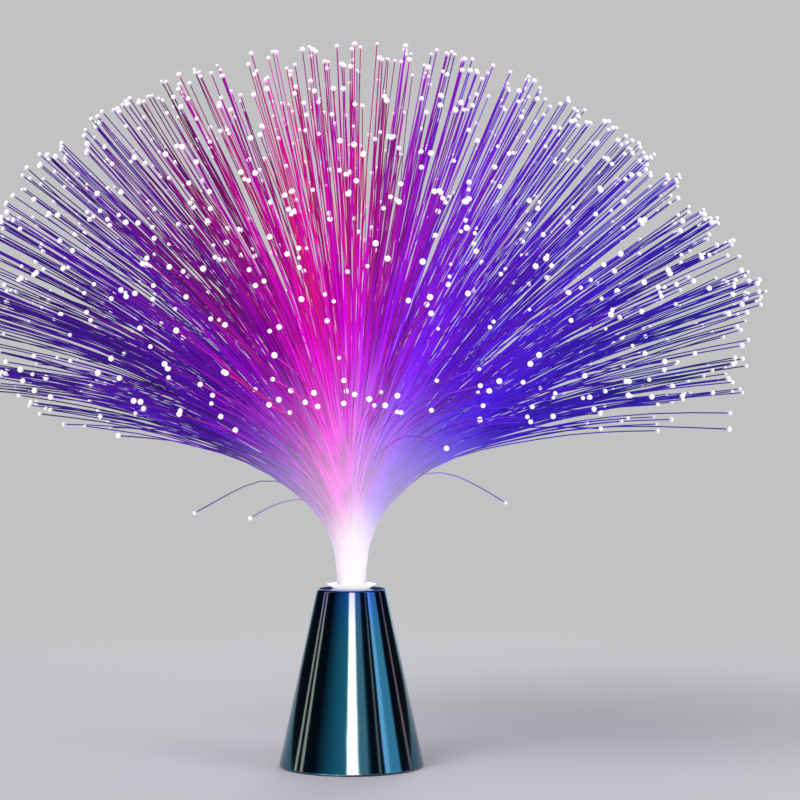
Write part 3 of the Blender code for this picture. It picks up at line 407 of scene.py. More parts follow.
# %% Read the guides
def read_guides(node):
    """The middles of the sections of every strand, from root to tip; strays are told by their low tips."""
    bm = bmesh.new()
    bm.from_mesh(node.data)
    bmesh.ops.remove_doubles(bm, verts=bm.verts, dist=1e-6)
    roots = {vertex for vertex in bm.verts if vertex.co.z < root_height + 1e-4}
    found = []
    seen = set(roots)
    for first in bm.verts:
        corners = {edge.other_vert(first) for edge in first.link_edges} & roots
        if first in seen or not corners:
            continue
        ring = {first}
        for _ in range(2):
            ring |= {other for vertex in ring for edge in vertex.link_edges for other in [edge.other_vert(vertex)]
                     if other not in seen and any(e.other_vert(other) in roots for e in other.link_edges)}
        corners = {edge.other_vert(vertex) for vertex in ring for edge in vertex.link_edges} & roots
        course = [sum((vertex.co for vertex in corners), Vector()) / len(corners)]
        while ring:
            seen |= ring
            course.append(sum((vertex.co for vertex in ring), Vector()) / len(ring))
            ring = {edge.other_vert(vertex) for vertex in ring for edge in vertex.link_edges} - seen
        found.append(course)
    bm.free()
    return found


guides = read_guides(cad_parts["fibre_spray"])
stray_reach = 0.15
is_stray = [
    sum((b - a).length for a, b in zip(course, course[1:])) < stray_reach for course in guides
]
print(len(guides), "guides,", sum(is_stray), "of them strays; sections:", sorted({len(course) for course in guides}))

# %% [markdown]
# ## Smooth guides that end on the dome
#
# A guide has only a few points, with straight runs between. Each run is made a curve that leaves the last one in
# the same direction, the way a thin springy fibre bends. The real spray was trimmed to a dome, so its tips form a
# clean crowded rim. Steady guides are therefore lengthened a little, along their last direction, up to that dome.

# %% Smooth the guides
guide_spacing = 0.008
dome_reach, dome_flattening, dome_power = 0.2672, 0.0160, 2.4
dome_edge, dome_fade = 52.0, 8.0


def smoothed(course):
    """Points along a smooth line through the points of a guide, which leaves its root upright."""
    chords = [(b - a).length for a, b in zip(course, course[1:])]
    slopes = [(b - a) / chord for a, b, chord in zip(course, course[1:], chords)]
    heads = [Vector((0, 0, 1))]
    for first, second, before, after in zip(slopes, slopes[1:], chords, chords[1:]):
        heads.append((first * after + second * before) / (before + after))
    heads.append(slopes[-1] * 1.5 - heads[-1] * 0.5)
    points = [course[0]]
    for start, end, leave, arrive, chord in zip(course, course[1:], heads, heads[1:], chords):
        count = max(2, round(chord / guide_spacing) + 1)
        points += interpolate_bezier(start, start + leave * chord / 3, end - arrive * chord / 3, end, count)[1:]
    return points


def to_dome(points):
    """Move the tip of a guide along its last direction, on to the dome. Low fibres stay as they are."""
    tip, heading = points[-1], (points[-1] - points[-2]).normalized()
    from_foot = tip - Vector((0, 0, root_height))
    angle = math.degrees(from_foot.angle(Vector((0, 0, 1))))
    reach_here = dome_reach - dome_flattening * (angle / dome_edge) ** dome_power
    share_moved = min(1.0, max(0.0, (dome_edge + dome_fade - angle) / dome_fade))
    points[-1] = tip + heading * (reach_here - from_foot.length) * share_moved
    return points


guides = [
    smoothed(course) if stray else to_dome(smoothed(course)) for course, stray in zip(guides, is_stray)
]
print(sum(len(course) for course in guides), "points in the guides")

# %% [markdown]
# ## Seeds
#
# Every guide gets one fibre that follows it. The others stand between: each mixes the courses of the three guides
# nearest to its own root, so neighbours never cross. Some are drawn towards the nearest one, which gathers the
# spray in tufts. A seed is one point with the numbers of its guides, their weights, and the share of the length
# at which the fibre is cut.

# %% Seeds: who follows which guides
extra_fibres = 1180
trimmed_share, cut_depth, cut_power = 0.50, 0.34, 1.15
golden_turn = math.pi * (3 - math.sqrt(5))
cutting = random.Random(7)
seeds = []
for number in range(len(guides)):
    seeds.append(((number,) * 3, (1.0, 0.0, 0.0), 1.0 if is_stray[number] else 1.0 - 0.012 * cutting.random(), 0.35))
steady = [number for number in range(len(guides)) if not is_stray[number]]
outermost = max(guides[number][0].xy.length for number in steady)
for number in range(extra_fibres):
    radius = outermost * math.sqrt((number + 0.5) / extra_fibres)
    root = Vector((math.cos(number * golden_turn), math.sin(number * golden_turn))) * radius
    nearest = sorted(steady, key=lambda guide: (guides[guide][0].xy - root).length)[:3]
    gathered = cutting.uniform(0.8, 3.0)
    nearness = [1 / ((guides[guide][0].xy - root).length + 0.0001) ** gathered for guide in nearest]
    weights = [value / sum(nearness) for value in nearness]
    at_dome = cutting.random() < trimmed_share
    trimmed = 0.02 * cutting.random() if at_dome else cut_depth * cutting.random() ** cut_power
    seeds.append((tuple(nearest), tuple(weights), 1.0 - trimmed, 1.0))


def point_mesh(name, positions, **attributes):
    """A mesh of loose points; each attribute is given as (kind, values)."""
    mesh = bpy.data.meshes.new(name)
    mesh.from_pydata(positions, [], [])
    for label, (kind, values) in attributes.items():
        made = mesh.attributes.new(label, kind, "POINT")
        for item, value in zip(made.data, values):
            setattr(item, "vector" if kind == "FLOAT_VECTOR" else "value", value)
    return mesh


guide_mesh = point_mesh(
    "guides", [point for course in guides for point in course],
    guide=("INT", [number for number, course in enumerate(guides) for _ in course]),
)


def seed_mesh(name):
    """The seeds as a mesh of points, all at the origin."""
    return point_mesh(
        name, [(0, 0, 0)] * len(seeds),
        first=("INT", [guide[0] for guide, _, _, _ in seeds]), second=("INT", [guide[1] for guide, _, _, _ in seeds]),
        third=("INT", [guide[2] for guide, _, _, _ in seeds]),
        weights=("FLOAT_VECTOR", [weights for _, weights, _, _ in seeds]),
        cut=("FLOAT", [cut for _, _, cut, _ in seeds]), loose=("FLOAT", [loose for _, _, _, loose in seeds]),
    )


print(len(seeds), "fibres, of which", len(guides), "follow a guide")

# %% [markdown]
# ## Courses of the fibres
#
# Geometry Nodes suit the next step well: the guides become curves, a row of points is made for each
# fibre, each point samples three guide curves at the same share of their length, and the mix is its place. A
# slow noise then lets the fibres sway a little, more towards their tips.

# %% Tree: courses of the fibres
paths_tree, paths, paths_out = new_tree("Fibre Courses", "GeometryNodeTree", [
    ("Seeds", "Geometry", None), ("Guides", "Object", None), ("Points", "Int", 15), ("Spacing", "Float", 1.15),
    ("Sway", "Float", 0.0022), ("Seed", "Int", 5),
], [("Curves", "Geometry")])


def whole_number(operation, first, second):
    """A sum on whole numbers."""
    return wire(place(paths_tree, "FunctionNodeIntegerMath", {0: first, 1: second}, operation=operation))


def drawn(fibre, shift):
    """A random share from 0 to 1 for each fibre."""
    seed = whole_number("ADD", paths["Seed"], shift)
    node = place(paths_tree, "FunctionNodeRandomValue", {2: 0.0, 3: 1.0, 7: fibre, 8: seed}, data_type="FLOAT")
    return wire(node, 1)


def of_seed(label, kind):
    """A value that the seed of this fibre holds."""
    named = place(paths_tree, "GeometryNodeInputNamedAttribute", {"Name": label}, data_type=kind)
    return wire(place(paths_tree, "GeometryNodeSampleIndex", {
        "Geometry": paths["Seeds"], "Value": wire(named), "Index": fibre,
    }, data_type=kind, domain="POINT"))


index = wire(paths_tree.nodes.new("GeometryNodeInputIndex"))
fibre = whole_number("DIVIDE_FLOOR", index, paths["Points"])
step = whole_number("MODULO", index, paths["Points"])
counted = place(paths_tree, "GeometryNodeAttributeDomainSize", {0: paths["Seeds"]}, component="MESH")
share = (step / (paths["Points"] - 1.0)) ** paths["Spacing"] * of_seed("cut", "FLOAT")

# %% Guide curves, and the mix of three
guide_points = place(paths_tree, "GeometryNodeMeshToPoints", {
    0: wire(place(paths_tree, "GeometryNodeObjectInfo", {"Object": paths["Guides"]}), "Geometry"),
})
guide_number = place(paths_tree, "GeometryNodeInputNamedAttribute", {"Name": "guide"}, data_type="INT")
guide_lines = place(paths_tree, "GeometryNodePointsToCurves", {
    0: wire(guide_points), "Curve Group ID": wire(guide_number),
    "Weight": wire(paths_tree.nodes.new("GeometryNodeInputIndex")),
})
guide_curves = wire(guide_lines)
weights = place(paths_tree, "ShaderNodeSeparateXYZ", {0: of_seed("weights", "FLOAT_VECTOR")})
mixed = None
for number, label in enumerate(("first", "second", "third")):
    sampled = place(paths_tree, "GeometryNodeSampleCurve", {
        "Curves": guide_curves, "Factor": share, "Curve Index": of_seed(label, "INT"),
    }, mode="FACTOR", use_all_curves=False)
    part = scaled(wire(sampled, "Position"), wire(weights, number))
    mixed = part if mixed is None else vector_sum("ADD", mixed, part)

# %% Sway, a shade for the finish, and curves
swirl = place(paths_tree, "ShaderNodeTexNoise", {
    "Vector": mixed, "W": drawn(fibre, 4) * 0.8, "Scale": 9.0, "Detail": 0.0,
}, noise_dimensions="4D")
centred = vector_sum("SUBTRACT", wire(swirl, "Color"), (0.5, 0.5, 0.5))
sway = scaled(centred, paths["Sway"] * 4.0 * ease(share, 0.05, 0.6) * of_seed("loose", "FLOAT"))
points = place(paths_tree, "GeometryNodePoints", {
    "Count": whole_number("MULTIPLY", wire(counted, "Point Count"), paths["Points"]),
    "Position": vector_sum("ADD", mixed, sway),
})
shaded = wire(place(paths_tree, "GeometryNodeStoreNamedAttribute", {
    0: wire(points), "Name": "shade", "Value": drawn(fibre, 5),
}, data_type="FLOAT", domain="POINT"))
strung = place(paths_tree, "GeometryNodePointsToCurves", {0: shaded, "Curve Group ID": fibre, "Weight": step})
connect(wire(strung), paths_out.inputs["Curves"])

# %% [markdown]
# ## Strands and tips
#
# The strands are tubes round the courses. The tips are small rounded beads at their ends, where the light comes
# out, brightest at the very end. Both trees start from the same courses, so every bead sits on its strand.

# %% Inputs of both trees, and how both end
spray_inputs = [
    ("Seeds", "Geometry", None), ("Guides", "Object", None), ("Seed", "Int", 5), ("Material", "Material", None),
]


def courses(tree, given):
    """The courses of the fibres, with the seeds and guides of the tree that asks."""
    return wire(place(tree, "GeometryNodeGroup", {
        label: given[label] for label in ("Seeds", "Guides", "Seed")
    }, node_tree=paths_tree))


def dressed(tree, geometry, material, out):
    """End a tree: real geometry, smooth, with its material."""
    smooth = place(tree, "GeometryNodeSetShadeSmooth", {0: geometry})
    whole = place(tree, "GeometryNodeRealizeInstances", {0: wire(smooth)})
    connect(wire(place(tree, "GeometryNodeSetMaterial", {0: wire(whole), "Material": material})), out.inputs[0])


# %% Tree: strands
strands_tree, strands, strands_out = new_tree(
    "Fibre Strands", "GeometryNodeTree",
    spray_inputs + [("Thickness", "Float", 0.00058), ("Sides", "Int", 4)], [("Geometry", "Geometry")],
)
section = place(strands_tree, "GeometryNodeCurvePrimitiveCircle", {
    "Resolution": strands["Sides"], "Radius": strands["Thickness"] * 0.5,
})
tubes = place(strands_tree, "GeometryNodeCurveToMesh", {
    0: courses(strands_tree, strands), 1: wire(section), "Fill Caps": True,
})
dressed(strands_tree, wire(tubes), strands["Material"], strands_out)

# %% Tree: tips
tips_tree, tips, tips_out = new_tree(
    "Fibre Tips", "GeometryNodeTree", spray_inputs + [("Tip Radius", "Float", 0.00115)], [("Geometry", "Geometry")],
)
bead = place(tips_tree, "GeometryNodeMeshUVSphere", {"Segments": 10, "Rings": 5, "Radius": tips["Tip Radius"]})
bead_height = coordinate(wire(tips_tree.nodes.new("GeometryNodeInputPosition")), "Z") / tips["Tip Radius"]
poled = place(tips_tree, "GeometryNodeStoreNamedAttribute", {
    0: wire(bead), "Name": "pole", "Value": bead_height,
}, data_type="FLOAT", domain="POINT")
upright = place(tips_tree, "FunctionNodeAlignRotationToVector", {
    "Vector": wire(tips_tree.nodes.new("GeometryNodeInputTangent")),
}, axis="Z")
ends = place(tips_tree, "GeometryNodeCurveEndpointSelection", {"Start Size": 0, "End Size": 1})
size = place(tips_tree, "FunctionNodeRandomValue", {2: 0.72, 3: 1.2, 8: tips["Seed"]}, data_type="FLOAT")
beads = place(tips_tree, "GeometryNodeInstanceOnPoints", {
    0: courses(tips_tree, tips), "Selection": wire(ends), "Instance": wire(poled), "Rotation": wire(upright),
    "Scale": wire(size, 1),
})
dressed(tips_tree, wire(beads), tips["Material"], tips_out)


# %% Finishes of the fibres
def lit_fibre(name, base_share, glow, to_white, to_white_at_pole):
    """Clear plastic that carries the light: its colour comes from the direction, and part of it glows."""
    material, shader = new_material(name)
    tree = material.node_tree
    light = place(tree, "ShaderNodeGroup", {
        "Shade": wire(place(tree, "ShaderNodeAttribute", attribute_name="shade"), "Fac"),
    }, node_tree=light_tree)
    pole = wire(place(tree, "ShaderNodeAttribute", attribute_name="pole"), "Fac")
    lit = blend(tree, ease(pole, -0.6, 0.5, to_white, to_white_at_pole), wire(light, "Colour"), (1.0, 0.96, 1.0))
    connect(blend(tree, base_share, (0, 0, 0), lit), shader.inputs["Base Color"])
    connect(lit, shader.inputs["Emission Color"])
    shader.inputs["Emission Strength"].default_value = glow
    shader.inputs["Roughness"].default_value = 0.35
    shader.inputs["Specular IOR Level"].default_value = 0.25
    return material


fibre_finish = lit_fibre("clear_fibre", 0.42, 0.72, 0.0, 0.0)
finishes["clear_fibre"] = fibre_finish
tip_finish = lit_fibre("fibre_tip_light", 0.45, 0.88, 0.45, 0.95)

# %% Grow the spray
guide_lines_piece = add_piece("guides", guide_mesh)
bpy.context.view_layer.update()
fibre_strands = grow("fibre_strands", strands_tree, {
    "Guides": guide_lines_piece, "Material": fibre_finish,
}, seed_mesh("fibre_strands"))
fibre_tips = grow("fibre_tips", tips_tree, {
    "Guides": guide_lines_piece, "Material": tip_finish,
}, seed_mesh("fibre_tips"))
bpy.data.objects.remove(guide_lines_piece)
settle(fibre_strands, "bundle", "clear_fibre", "fibre_spray")
settle(fibre_tips, "bundle", "clear_fibre")


# %% [markdown]
# ## Turned pieces
#
# The cone, the collar, the potting, the pads, the cells and the lenses are all turned: one profile swept round an
# upright axis. The frame's solids have flats that a mirror finish would show, so these pieces are turned again
# from the same profile in many more steps.

# %% Turn a profile
def turned_mesh(name, profile, steps, materials, sharp_angle=30, material_of=None):
    """Sweep a closed profile of (radius, height) points round the Z axis, and close the seam and the poles."""
    bm = bmesh.new()
    ring = [bm.verts.new((radius, 0, height)) for radius, height in profile]
    edges = [bm.edges.new((ring[i - 1], ring[i])) for i in range(len(ring))]
    bmesh.ops.spin(
        bm, geom=ring + edges, cent=(0, 0, 0), axis=(0, 0, 1), angle=2 * math.pi, steps=steps, use_merge=True
    )
    bmesh.ops.remove_doubles(bm, verts=bm.verts, dist=1e-7)
    bmesh.ops.dissolve_degenerate(bm, edges=bm.edges, dist=1e-7)
    bmesh.ops.recalc_face_normals(bm, faces=bm.faces)
    for face in bm.faces if material_of else ():
        face.material_index = material_of(face.calc_center_median())
    mesh = to_mesh(name, bm)
    for material in materials:
        mesh.materials.append(material)
    return smooth_shaded(mesh, sharp_angle)


def arc(centre, radius, start, end, steps):
    """Points of an arc in a profile, from one angle in degrees to another."""
    turns = [math.radians(start + (end - start) * step / steps) for step in range(steps + 1)]
    return [(centre[0] + radius * math.cos(a), centre[1] + radius * math.sin(a)) for a in turns]


# %% [markdown]
# ## The plated cone
#
# The cone is moulded plastic with a bright metal plating under a teal lacquer, so the finish is a metal with a
# dark teal colour. Such a surface is never quite even: the plating follows faint waves of the moulding, and fingers
# leave a slightly duller haze. Towards the shoulder and on the flat top the colour turns darker and bluer, as a
# painted reflection of dark surroundings. At the foot, where the lamp is set down and pushed about, the plating is
# worn a little thinner.

# %% Finish of the cone
plating_tint = (0.030, 0.140, 0.210)
painted_top_reflection = (0.022, 0.100, 0.300)
worn_plating = (0.130, 0.240, 0.300)
plating, plating_shader = new_material("teal_plating")
tree = plating.node_tree
values = place(tree, "ShaderNodeGroup", node_tree=rubbed_metal)
for key, value in (("Scale", 260.0), ("Roughness", 0.075), ("Spread", 0.05)):
    values.inputs[key].default_value = value
spot = object_spot(tree)
height = coordinate(spot, "Z")
# Towards the shoulder and on the flat top the tint turns darker and bluer: a painted reflection of dark surroundings.
tint_with_painted_reflection = blend(tree, ease(height, 0.062, 0.090), plating_tint, painted_top_reflection)
chips = ease(noise(spot, 420.0, Detail=4.0), 0.50, 0.62)
worn = chips * (ease(height, 0.0016, 0.0009) + ease(height, 0.0869, 0.0876) * 0.3)
connect(blend(tree, worn, tint_with_painted_reflection, worn_plating), plating_shader.inputs["Base Color"])
connect(wire(values, "Roughness") + worn * 0.15, plating_shader.inputs["Roughness"])
drawn_out = wire(place(tree, "ShaderNodeMapping", {0: spot, "Scale": (1.0, 1.0, 0.35)}))
waves = noise(drawn_out, 130.0, Detail=1.0)
relief = place(tree, "ShaderNodeBump", {"Height": waves, "Strength": 0.35, "Distance": 0.00012})
connect(wire(relief), plating_shader.inputs["Normal"])
plating_shader.inputs["Metallic"].default_value = 1.0
finishes["teal_plating"] = plating

# %% Shape of the cone
foot_radius, top_radius = 0.03596, 0.01700
foot_height, top_height = 0.0007, 0.0880
slope = math.atan2(foot_radius - top_radius, top_height - foot_height)
shoulder, rim = 0.0015, 0.0004
shoulder_inset = shoulder * math.tan((math.pi / 2 - slope) / 2)
rim_inset = rim * math.tan((math.pi / 2 + slope) / 2)
socket_bore, socket_outside, socket_foot = 0.0086, 0.0102, 0.0629
ceiling, ledge_height = 0.0860, 0.0044
cone_profile = [
    *arc((foot_radius - rim_inset, foot_height + rim), rim, -90, math.degrees(slope), 6),
    *arc((top_radius - shoulder_inset, top_height - shoulder), shoulder, math.degrees(slope), 90, 12),
    (socket_bore, top_height), (socket_bore, socket_foot), (socket_outside, socket_foot), (socket_outside, ceiling),
    (0.01563, ceiling), (0.03339, ledge_height), (0.03419, ledge_height), (0.03496, foot_height),
]
plated_cone = add_piece("plated_cone", turned_mesh("plated_cone", cone_profile, 256, [plating]))
settle(plated_cone, "base", "teal_plating", "cone_shell")
print(f"the wall of the cone leans {math.degrees(slope):.1f} degrees")

# %% [markdown]
# ## Collar and potting
#
# A milky ring grips the foot of the bundle. Its flared rim catches the light that leaves the fibres sideways, so
# it glows almost white. Inside it the fibres are set in a disc of clear resin.

# %% The collar
milky, milky_shader = new_material("milky_plastic")
tree = milky.node_tree
spot = object_spot(tree)
from_axis = vector_sum("LENGTH", vector_sum("MULTIPLY", spot, (1, 1, 0)), key="Value")
mottle = noise(spot, 500.0, Detail=3.0)
# Near the axis, round the neck of the bundle, colour and glow drop to about half: a painted contact shadow. The
# mottle on top of it is the plastic's own.
painted_neck_shadow_and_mottle = grey(ease(from_axis, 0.0078, 0.0095, 0.55, 1.0) * ease(mottle, 0.2, 0.8, 0.95, 1.04))
for socket_name, colour in (("Base Color", (0.78, 0.78, 0.82)), ("Emission Color", (0.98, 0.96, 1.0))):
    connect(blend(tree, 1.0, colour, painted_neck_shadow_and_mottle, "MULTIPLY"), milky_shader.inputs[socket_name])
connect(ease(mottle, 0.3, 0.7, 0.24, 0.34), milky_shader.inputs["Roughness"])
milky_shader.inputs["Emission Strength"].default_value = 0.72
finishes["milky_plastic"] = milky
collar_bore, collar_outside, flare_start = 0.0075, 0.0083, 0.0091
collar_foot, flare_underside = 0.0725, 0.0883
lip_radius, lip_height, lip_round = 0.01193, 0.09017, 0.00017
collar_profile = [
    (collar_bore, collar_foot), (collar_outside, collar_foot), (collar_outside, flare_underside),
    (flare_start, flare_underside), *arc((lip_radius, lip_height), lip_round, -60, 90, 5),
    (flare_start, 0.08915), (collar_bore, root_height),
]
flared_collar = add_piece("flared_collar", turned_mesh("flared_collar", collar_profile, 128, [milky]))
settle(flared_collar, "bundle", "milky_plastic", "collar")

# %% The potting
resin, resin_shader = new_material("potting_resin")
tree = resin.node_tree
bubbles = wire(place(tree, "ShaderNodeTexVoronoi", {"Vector": object_spot(tree), "Scale": 1400.0}), "Distance")
for socket_name, cloudy, clear in (
    ("Base Color", (0.62, 0.58, 0.66), (0.82, 0.78, 0.86)), ("Emission Color", (0.8, 0.7, 0.85), (1.0, 0.94, 1.0)),
):
    connect(blend(tree, ease(bubbles, 0.1, 0.6), cloudy, clear), resin_shader.inputs[socket_name])
resin_shader.inputs["Emission Strength"].default_value = 0.5
resin_shader.inputs["Roughness"].default_value = 0.2
potting_radius, potting_foot = 0.0073, 0.0731
potting_profile = [(0, potting_foot), (potting_radius, potting_foot), (potting_radius, 0.0884), (0, 0.0887)]
potting_disc = add_piece("potting_disc", turned_mesh("potting_disc", potting_profile, 64, [resin]))
settle(potting_disc, "bundle", "clear_fibre")

# %% [markdown]
# ## Copies set out on points
#
# Pads, screws, cells, springs and lenses each come several times. One tree serves them all: the piece's own mesh
# is a handful of points, each with a turn, and the tree sets a copy of a master on each of them.

# %% Tree: set out copies
copies_tree, copies, copies_out = new_tree("Set Out Copies", "GeometryNodeTree", [
    ("Points", "Geometry", None), ("Master", "Object", None), ("Material", "Material", None),
    ("Own Material", "Bool", False), ("Loose Turn", "Float", 0.0), ("Seed", "Int", 3),
], [("Geometry", "Geometry")])
master = place(copies_tree, "GeometryNodeObjectInfo", {"Object": copies["Master"]})
given_turn = place(copies_tree, "GeometryNodeInputNamedAttribute", {"Name": "turn"}, data_type="FLOAT_VECTOR")
loose = place(copies_tree, "FunctionNodeRandomValue", {2: 0.0, 3: 1.0, 8: copies["Seed"]}, data_type="FLOAT")
loose_turn = place(copies_tree, "FunctionNodeEulerToRotation", {
    0: wire(place(copies_tree, "ShaderNodeCombineXYZ", {2: wire(loose, 1) * copies["Loose Turn"]})),
})
whole_turn = place(copies_tree, "FunctionNodeRotateRotation", {
    0: wire(place(copies_tree, "FunctionNodeEulerToRotation", {0: wire(given_turn)})), 1: wire(loose_turn),
}, rotation_space="LOCAL")
instances = place(copies_tree, "GeometryNodeInstanceOnPoints", {
    0: copies["Points"], "Instance": wire(master, "Geometry"), "Rotation": wire(whole_turn),
})
whole = wire(place(copies_tree, "GeometryNodeRealizeInstances", {0: wire(instances)}))
painted = wire(place(copies_tree, "GeometryNodeSetMaterial", {
    0: whole, "Selection": copies["Own Material"].math("LESS_THAN", 0.5), "Material": copies["Material"],
}))
connect(painted, copies_out.inputs[0])


def set_out(name, master_mesh, places, material=None, loose_turn=0.0):
    """Copies of a mesh at places, each (position, turn about X, Y and Z in degrees), as one plain mesh."""
    mesh = bpy.data.meshes.new(name)
    mesh.from_pydata([place_at for place_at, _ in places], [], [])
    turns = mesh.attributes.new("turn", "FLOAT_VECTOR", "POINT")
    for item, (_, turn_by) in zip(turns.data, places):
        item.vector = [math.radians(angle) for angle in turn_by]
    master_piece = add_piece(name + "_master", master_mesh)
    bpy.context.view_layer.update()
    values = {"Master": master_piece, "Own Material": material is None, "Loose Turn": loose_turn}
    if material:
        values["Material"] = material
    piece = grow(name, copies_tree, values, mesh)
    bpy.data.objects.remove(master_piece)
    return piece


def polar(radius, degrees, height):
    """A place by its distance from the lamp's axis, its bearing and its height."""
    return radius * math.cos(math.radians(degrees)), radius * math.sin(math.radians(degrees)), height


# %% Foot pads
pad_radius, pad_height, pad_circle, pad_bearings = 0.003, 0.0012, 0.029656, (46, 134, 226, 314)
pad_profile = [
    (0, 0.0), (0.0022, 0.0), *arc((0.0026, 0.0004), 0.0004, -90, 0, 4), (pad_radius, pad_height), (0, pad_height),
]
pad_mesh = turned_mesh("pad", pad_profile, 40, [finishes["foot_rubber"]])
foot_pads = set_out(
    "foot_pads", pad_mesh, [(polar(pad_circle, bearing, 0), (0, 0, 0)) for bearing in pad_bearings],
    finishes["foot_rubber"],
)
settle(foot_pads, "base", "foot_rubber", *[f"foot_pad_{number}" for number in (1, 2, 3, 4)])

# %% [markdown]
# ## Screws
#
# Every screw is a pan head with a cross recess and a cut thread. The recess is a boolean cut of two crossed
# wedges, because a driver's cross has walls that slope to a point. Threads on screws this small read well as
# rings, which cost far less than a true spiral.

# %% Master screws
def screw_mesh(name, head_radius, head_height, shank_radius, shank_length):
    """A pan head below the origin with a cross recess, and a threaded shank above it."""
    pitch = shank_radius * 0.75
    thread = []
    rise = pitch / 2
    while rise < shank_length - shank_radius * 1.6:
        thread += [(shank_radius, rise), (shank_radius * 0.78, rise + pitch * 0.5)]
        rise += pitch
    profile = [
        (0, -head_height), (head_radius * 0.55, -head_height * 0.98), (head_radius * 0.82, -head_height * 0.8),
        (head_radius * 0.97, -head_height * 0.42), (head_radius, -head_height * 0.12), (head_radius * 0.98, 0),
        (shank_radius * 0.8, 0), *thread, (0, shank_length),
    ]
    piece = add_piece(name, turned_mesh(name, profile, 28, [finishes["zinc_steel"]], sharp_angle=40))
    bm = bmesh.new()
    for turn_by in (0, 90):
        half_length, half_width, depth = head_radius * 0.62, head_radius * 0.13, head_height * 0.62
        for vertex in bmesh.ops.create_cube(bm, size=1.0)["verts"]:
            tapered = 1.0 if vertex.co.z < 0 else 0.35
            vertex.co = Vector((
                vertex.co.x * 2 * half_length * tapered, vertex.co.y * 2 * half_width * (0.6 + 0.4 * tapered),
                -head_height + (vertex.co.z + 0.5) * depth - (0.5 - vertex.co.z) * head_height * 0.3,
            ))
            vertex.co = Matrix.Rotation(math.radians(turn_by), 3, "Z") @ vertex.co
    cutter = add_piece("cross", to_mesh("cross", bm))
    cut = piece.modifiers.new("recess", "BOOLEAN")
    cut.object, cut.operation, cut.solver, cut.use_self = cutter, "DIFFERENCE", "EXACT", True
    result = baked(piece)
    bpy.data.objects.remove(piece)
    bpy.data.objects.remove(cutter)
    result.set_sharp_from_angle(angle=math.radians(40))
    return result


# %% Screws in their places
plate_screw_bearings = (58, 122, 270)
post_circle, board_post_circle = 0.02636, 0.0124
screw_sets = [
    # name, body, (head radius, head height, shank radius, shank length), places, nodes it stands for
    ("plate_screws", "base", (0.0025, 0.0012, 0.0012, 0.0090),
     [(polar(post_circle, bearing, 0.0028), (0, 0, 0)) for bearing in plate_screw_bearings],
     ["plate_screw_1", "plate_screw_2", "plate_screw_3"]),
    ("board_screws", "base", (0.0019, 0.0010, 0.0009, 0.0070),
     [(polar(board_post_circle, bearing, 0.0611), (0, 0, 0)) for bearing in (0, 180)],
     ["board_screw_1", "board_screw_2"]),
    ("switch_screws", "base", (0.0013, 0.0008, 0.0006, 0.0022),
     [((side * 0.0076, 0.02395, 0.0057), (180, 0, 0)) for side in (-1, 1)],
     ["switch_screw_1", "switch_screw_2"]),
    ("door_screws", "door", (0.0019, 0.0010, 0.0009, 0.0046),
     [((0.0291, 0.0, 0.0019), (0, 0, 0))], ["door_screw"]),
]
for name, body, sizes, places, nodes in screw_sets:
    low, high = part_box(nodes[0])
    piece = set_out(name, screw_mesh(name + "_shape", *sizes), places, finishes["zinc_steel"], loose_turn=3.0)
    settle(piece, body, "zinc_steel", *nodes)
    print(f"{name}: CAD from {low.z * 1000:.2f} to {high.z * 1000:.2f} mm")

# %% [markdown]
# ## Posts inside the cone
#
# Three posts inside the cone take the screws of the bottom plate, each tied to the wall by a rib that narrows
# upwards. Two more hang from the shoulder and carry the light board.


# %% Posts of the cone
def with_rib(mesh, low, high, half_width):
    """Join a thin rib to a turned mesh, out to one (distance, height) at its foot and another at its top."""
    bm = bmesh.new()
    bm.from_mesh(mesh)
    for vertex in bmesh.ops.create_cube(bm, size=2.0)["verts"]:
        distance, rise = high if vertex.co.z > 0 else low
        vertex.co = (distance if vertex.co.x > 0 else 0, vertex.co.y * half_width, rise)
    bm.to_mesh(mesh)
    bm.free()
    return smooth_shaded(mesh)


def post_mesh(name, radius, bore, low, bore_top, high):
    """A post with a blind bore from below."""
    profile = [(bore, low), (radius, low), (radius, high), (0, high), (0, bore_top), (bore, bore_top)]
    return turned_mesh(name, profile, 32, [plating])


board_top = socket_foot
rib_foot, rib_top, rib_half_width = (0.00768, 0.0054), (0.00301, 0.0269), 0.0006
plate_post = post_mesh("plate_post", 0.0028, 0.0015, ledge_height, 0.0131, 0.02787)
plate_posts = set_out(
    "plate_posts", with_rib(plate_post, rib_foot, rib_top, rib_half_width),
    [(polar(post_circle, bearing, 0), (0, 0, bearing)) for bearing in plate_screw_bearings], plating,
)
board_posts = set_out(
    "board_posts", post_mesh("board_post", 0.0024, 0.0012, board_top, 0.0694, 0.0861),
    [(polar(board_post_circle, bearing, 0), (0, 0, bearing)) for bearing in (0, 180)], plating,
)
for piece in (plate_posts, board_posts):
    settle(piece, "base", "teal_plating", "cone_shell")

# %% [markdown]
# ## Cells and their springs
#
# Three small cells lie side by side, the middle one the other way round. A cell is a steel can in a shrunk jacket
# that curls over its ends: the flat foot and the small button at the other end stay bare. The springs are true
# coils, made by a tree from a spiral that narrows towards the cell.

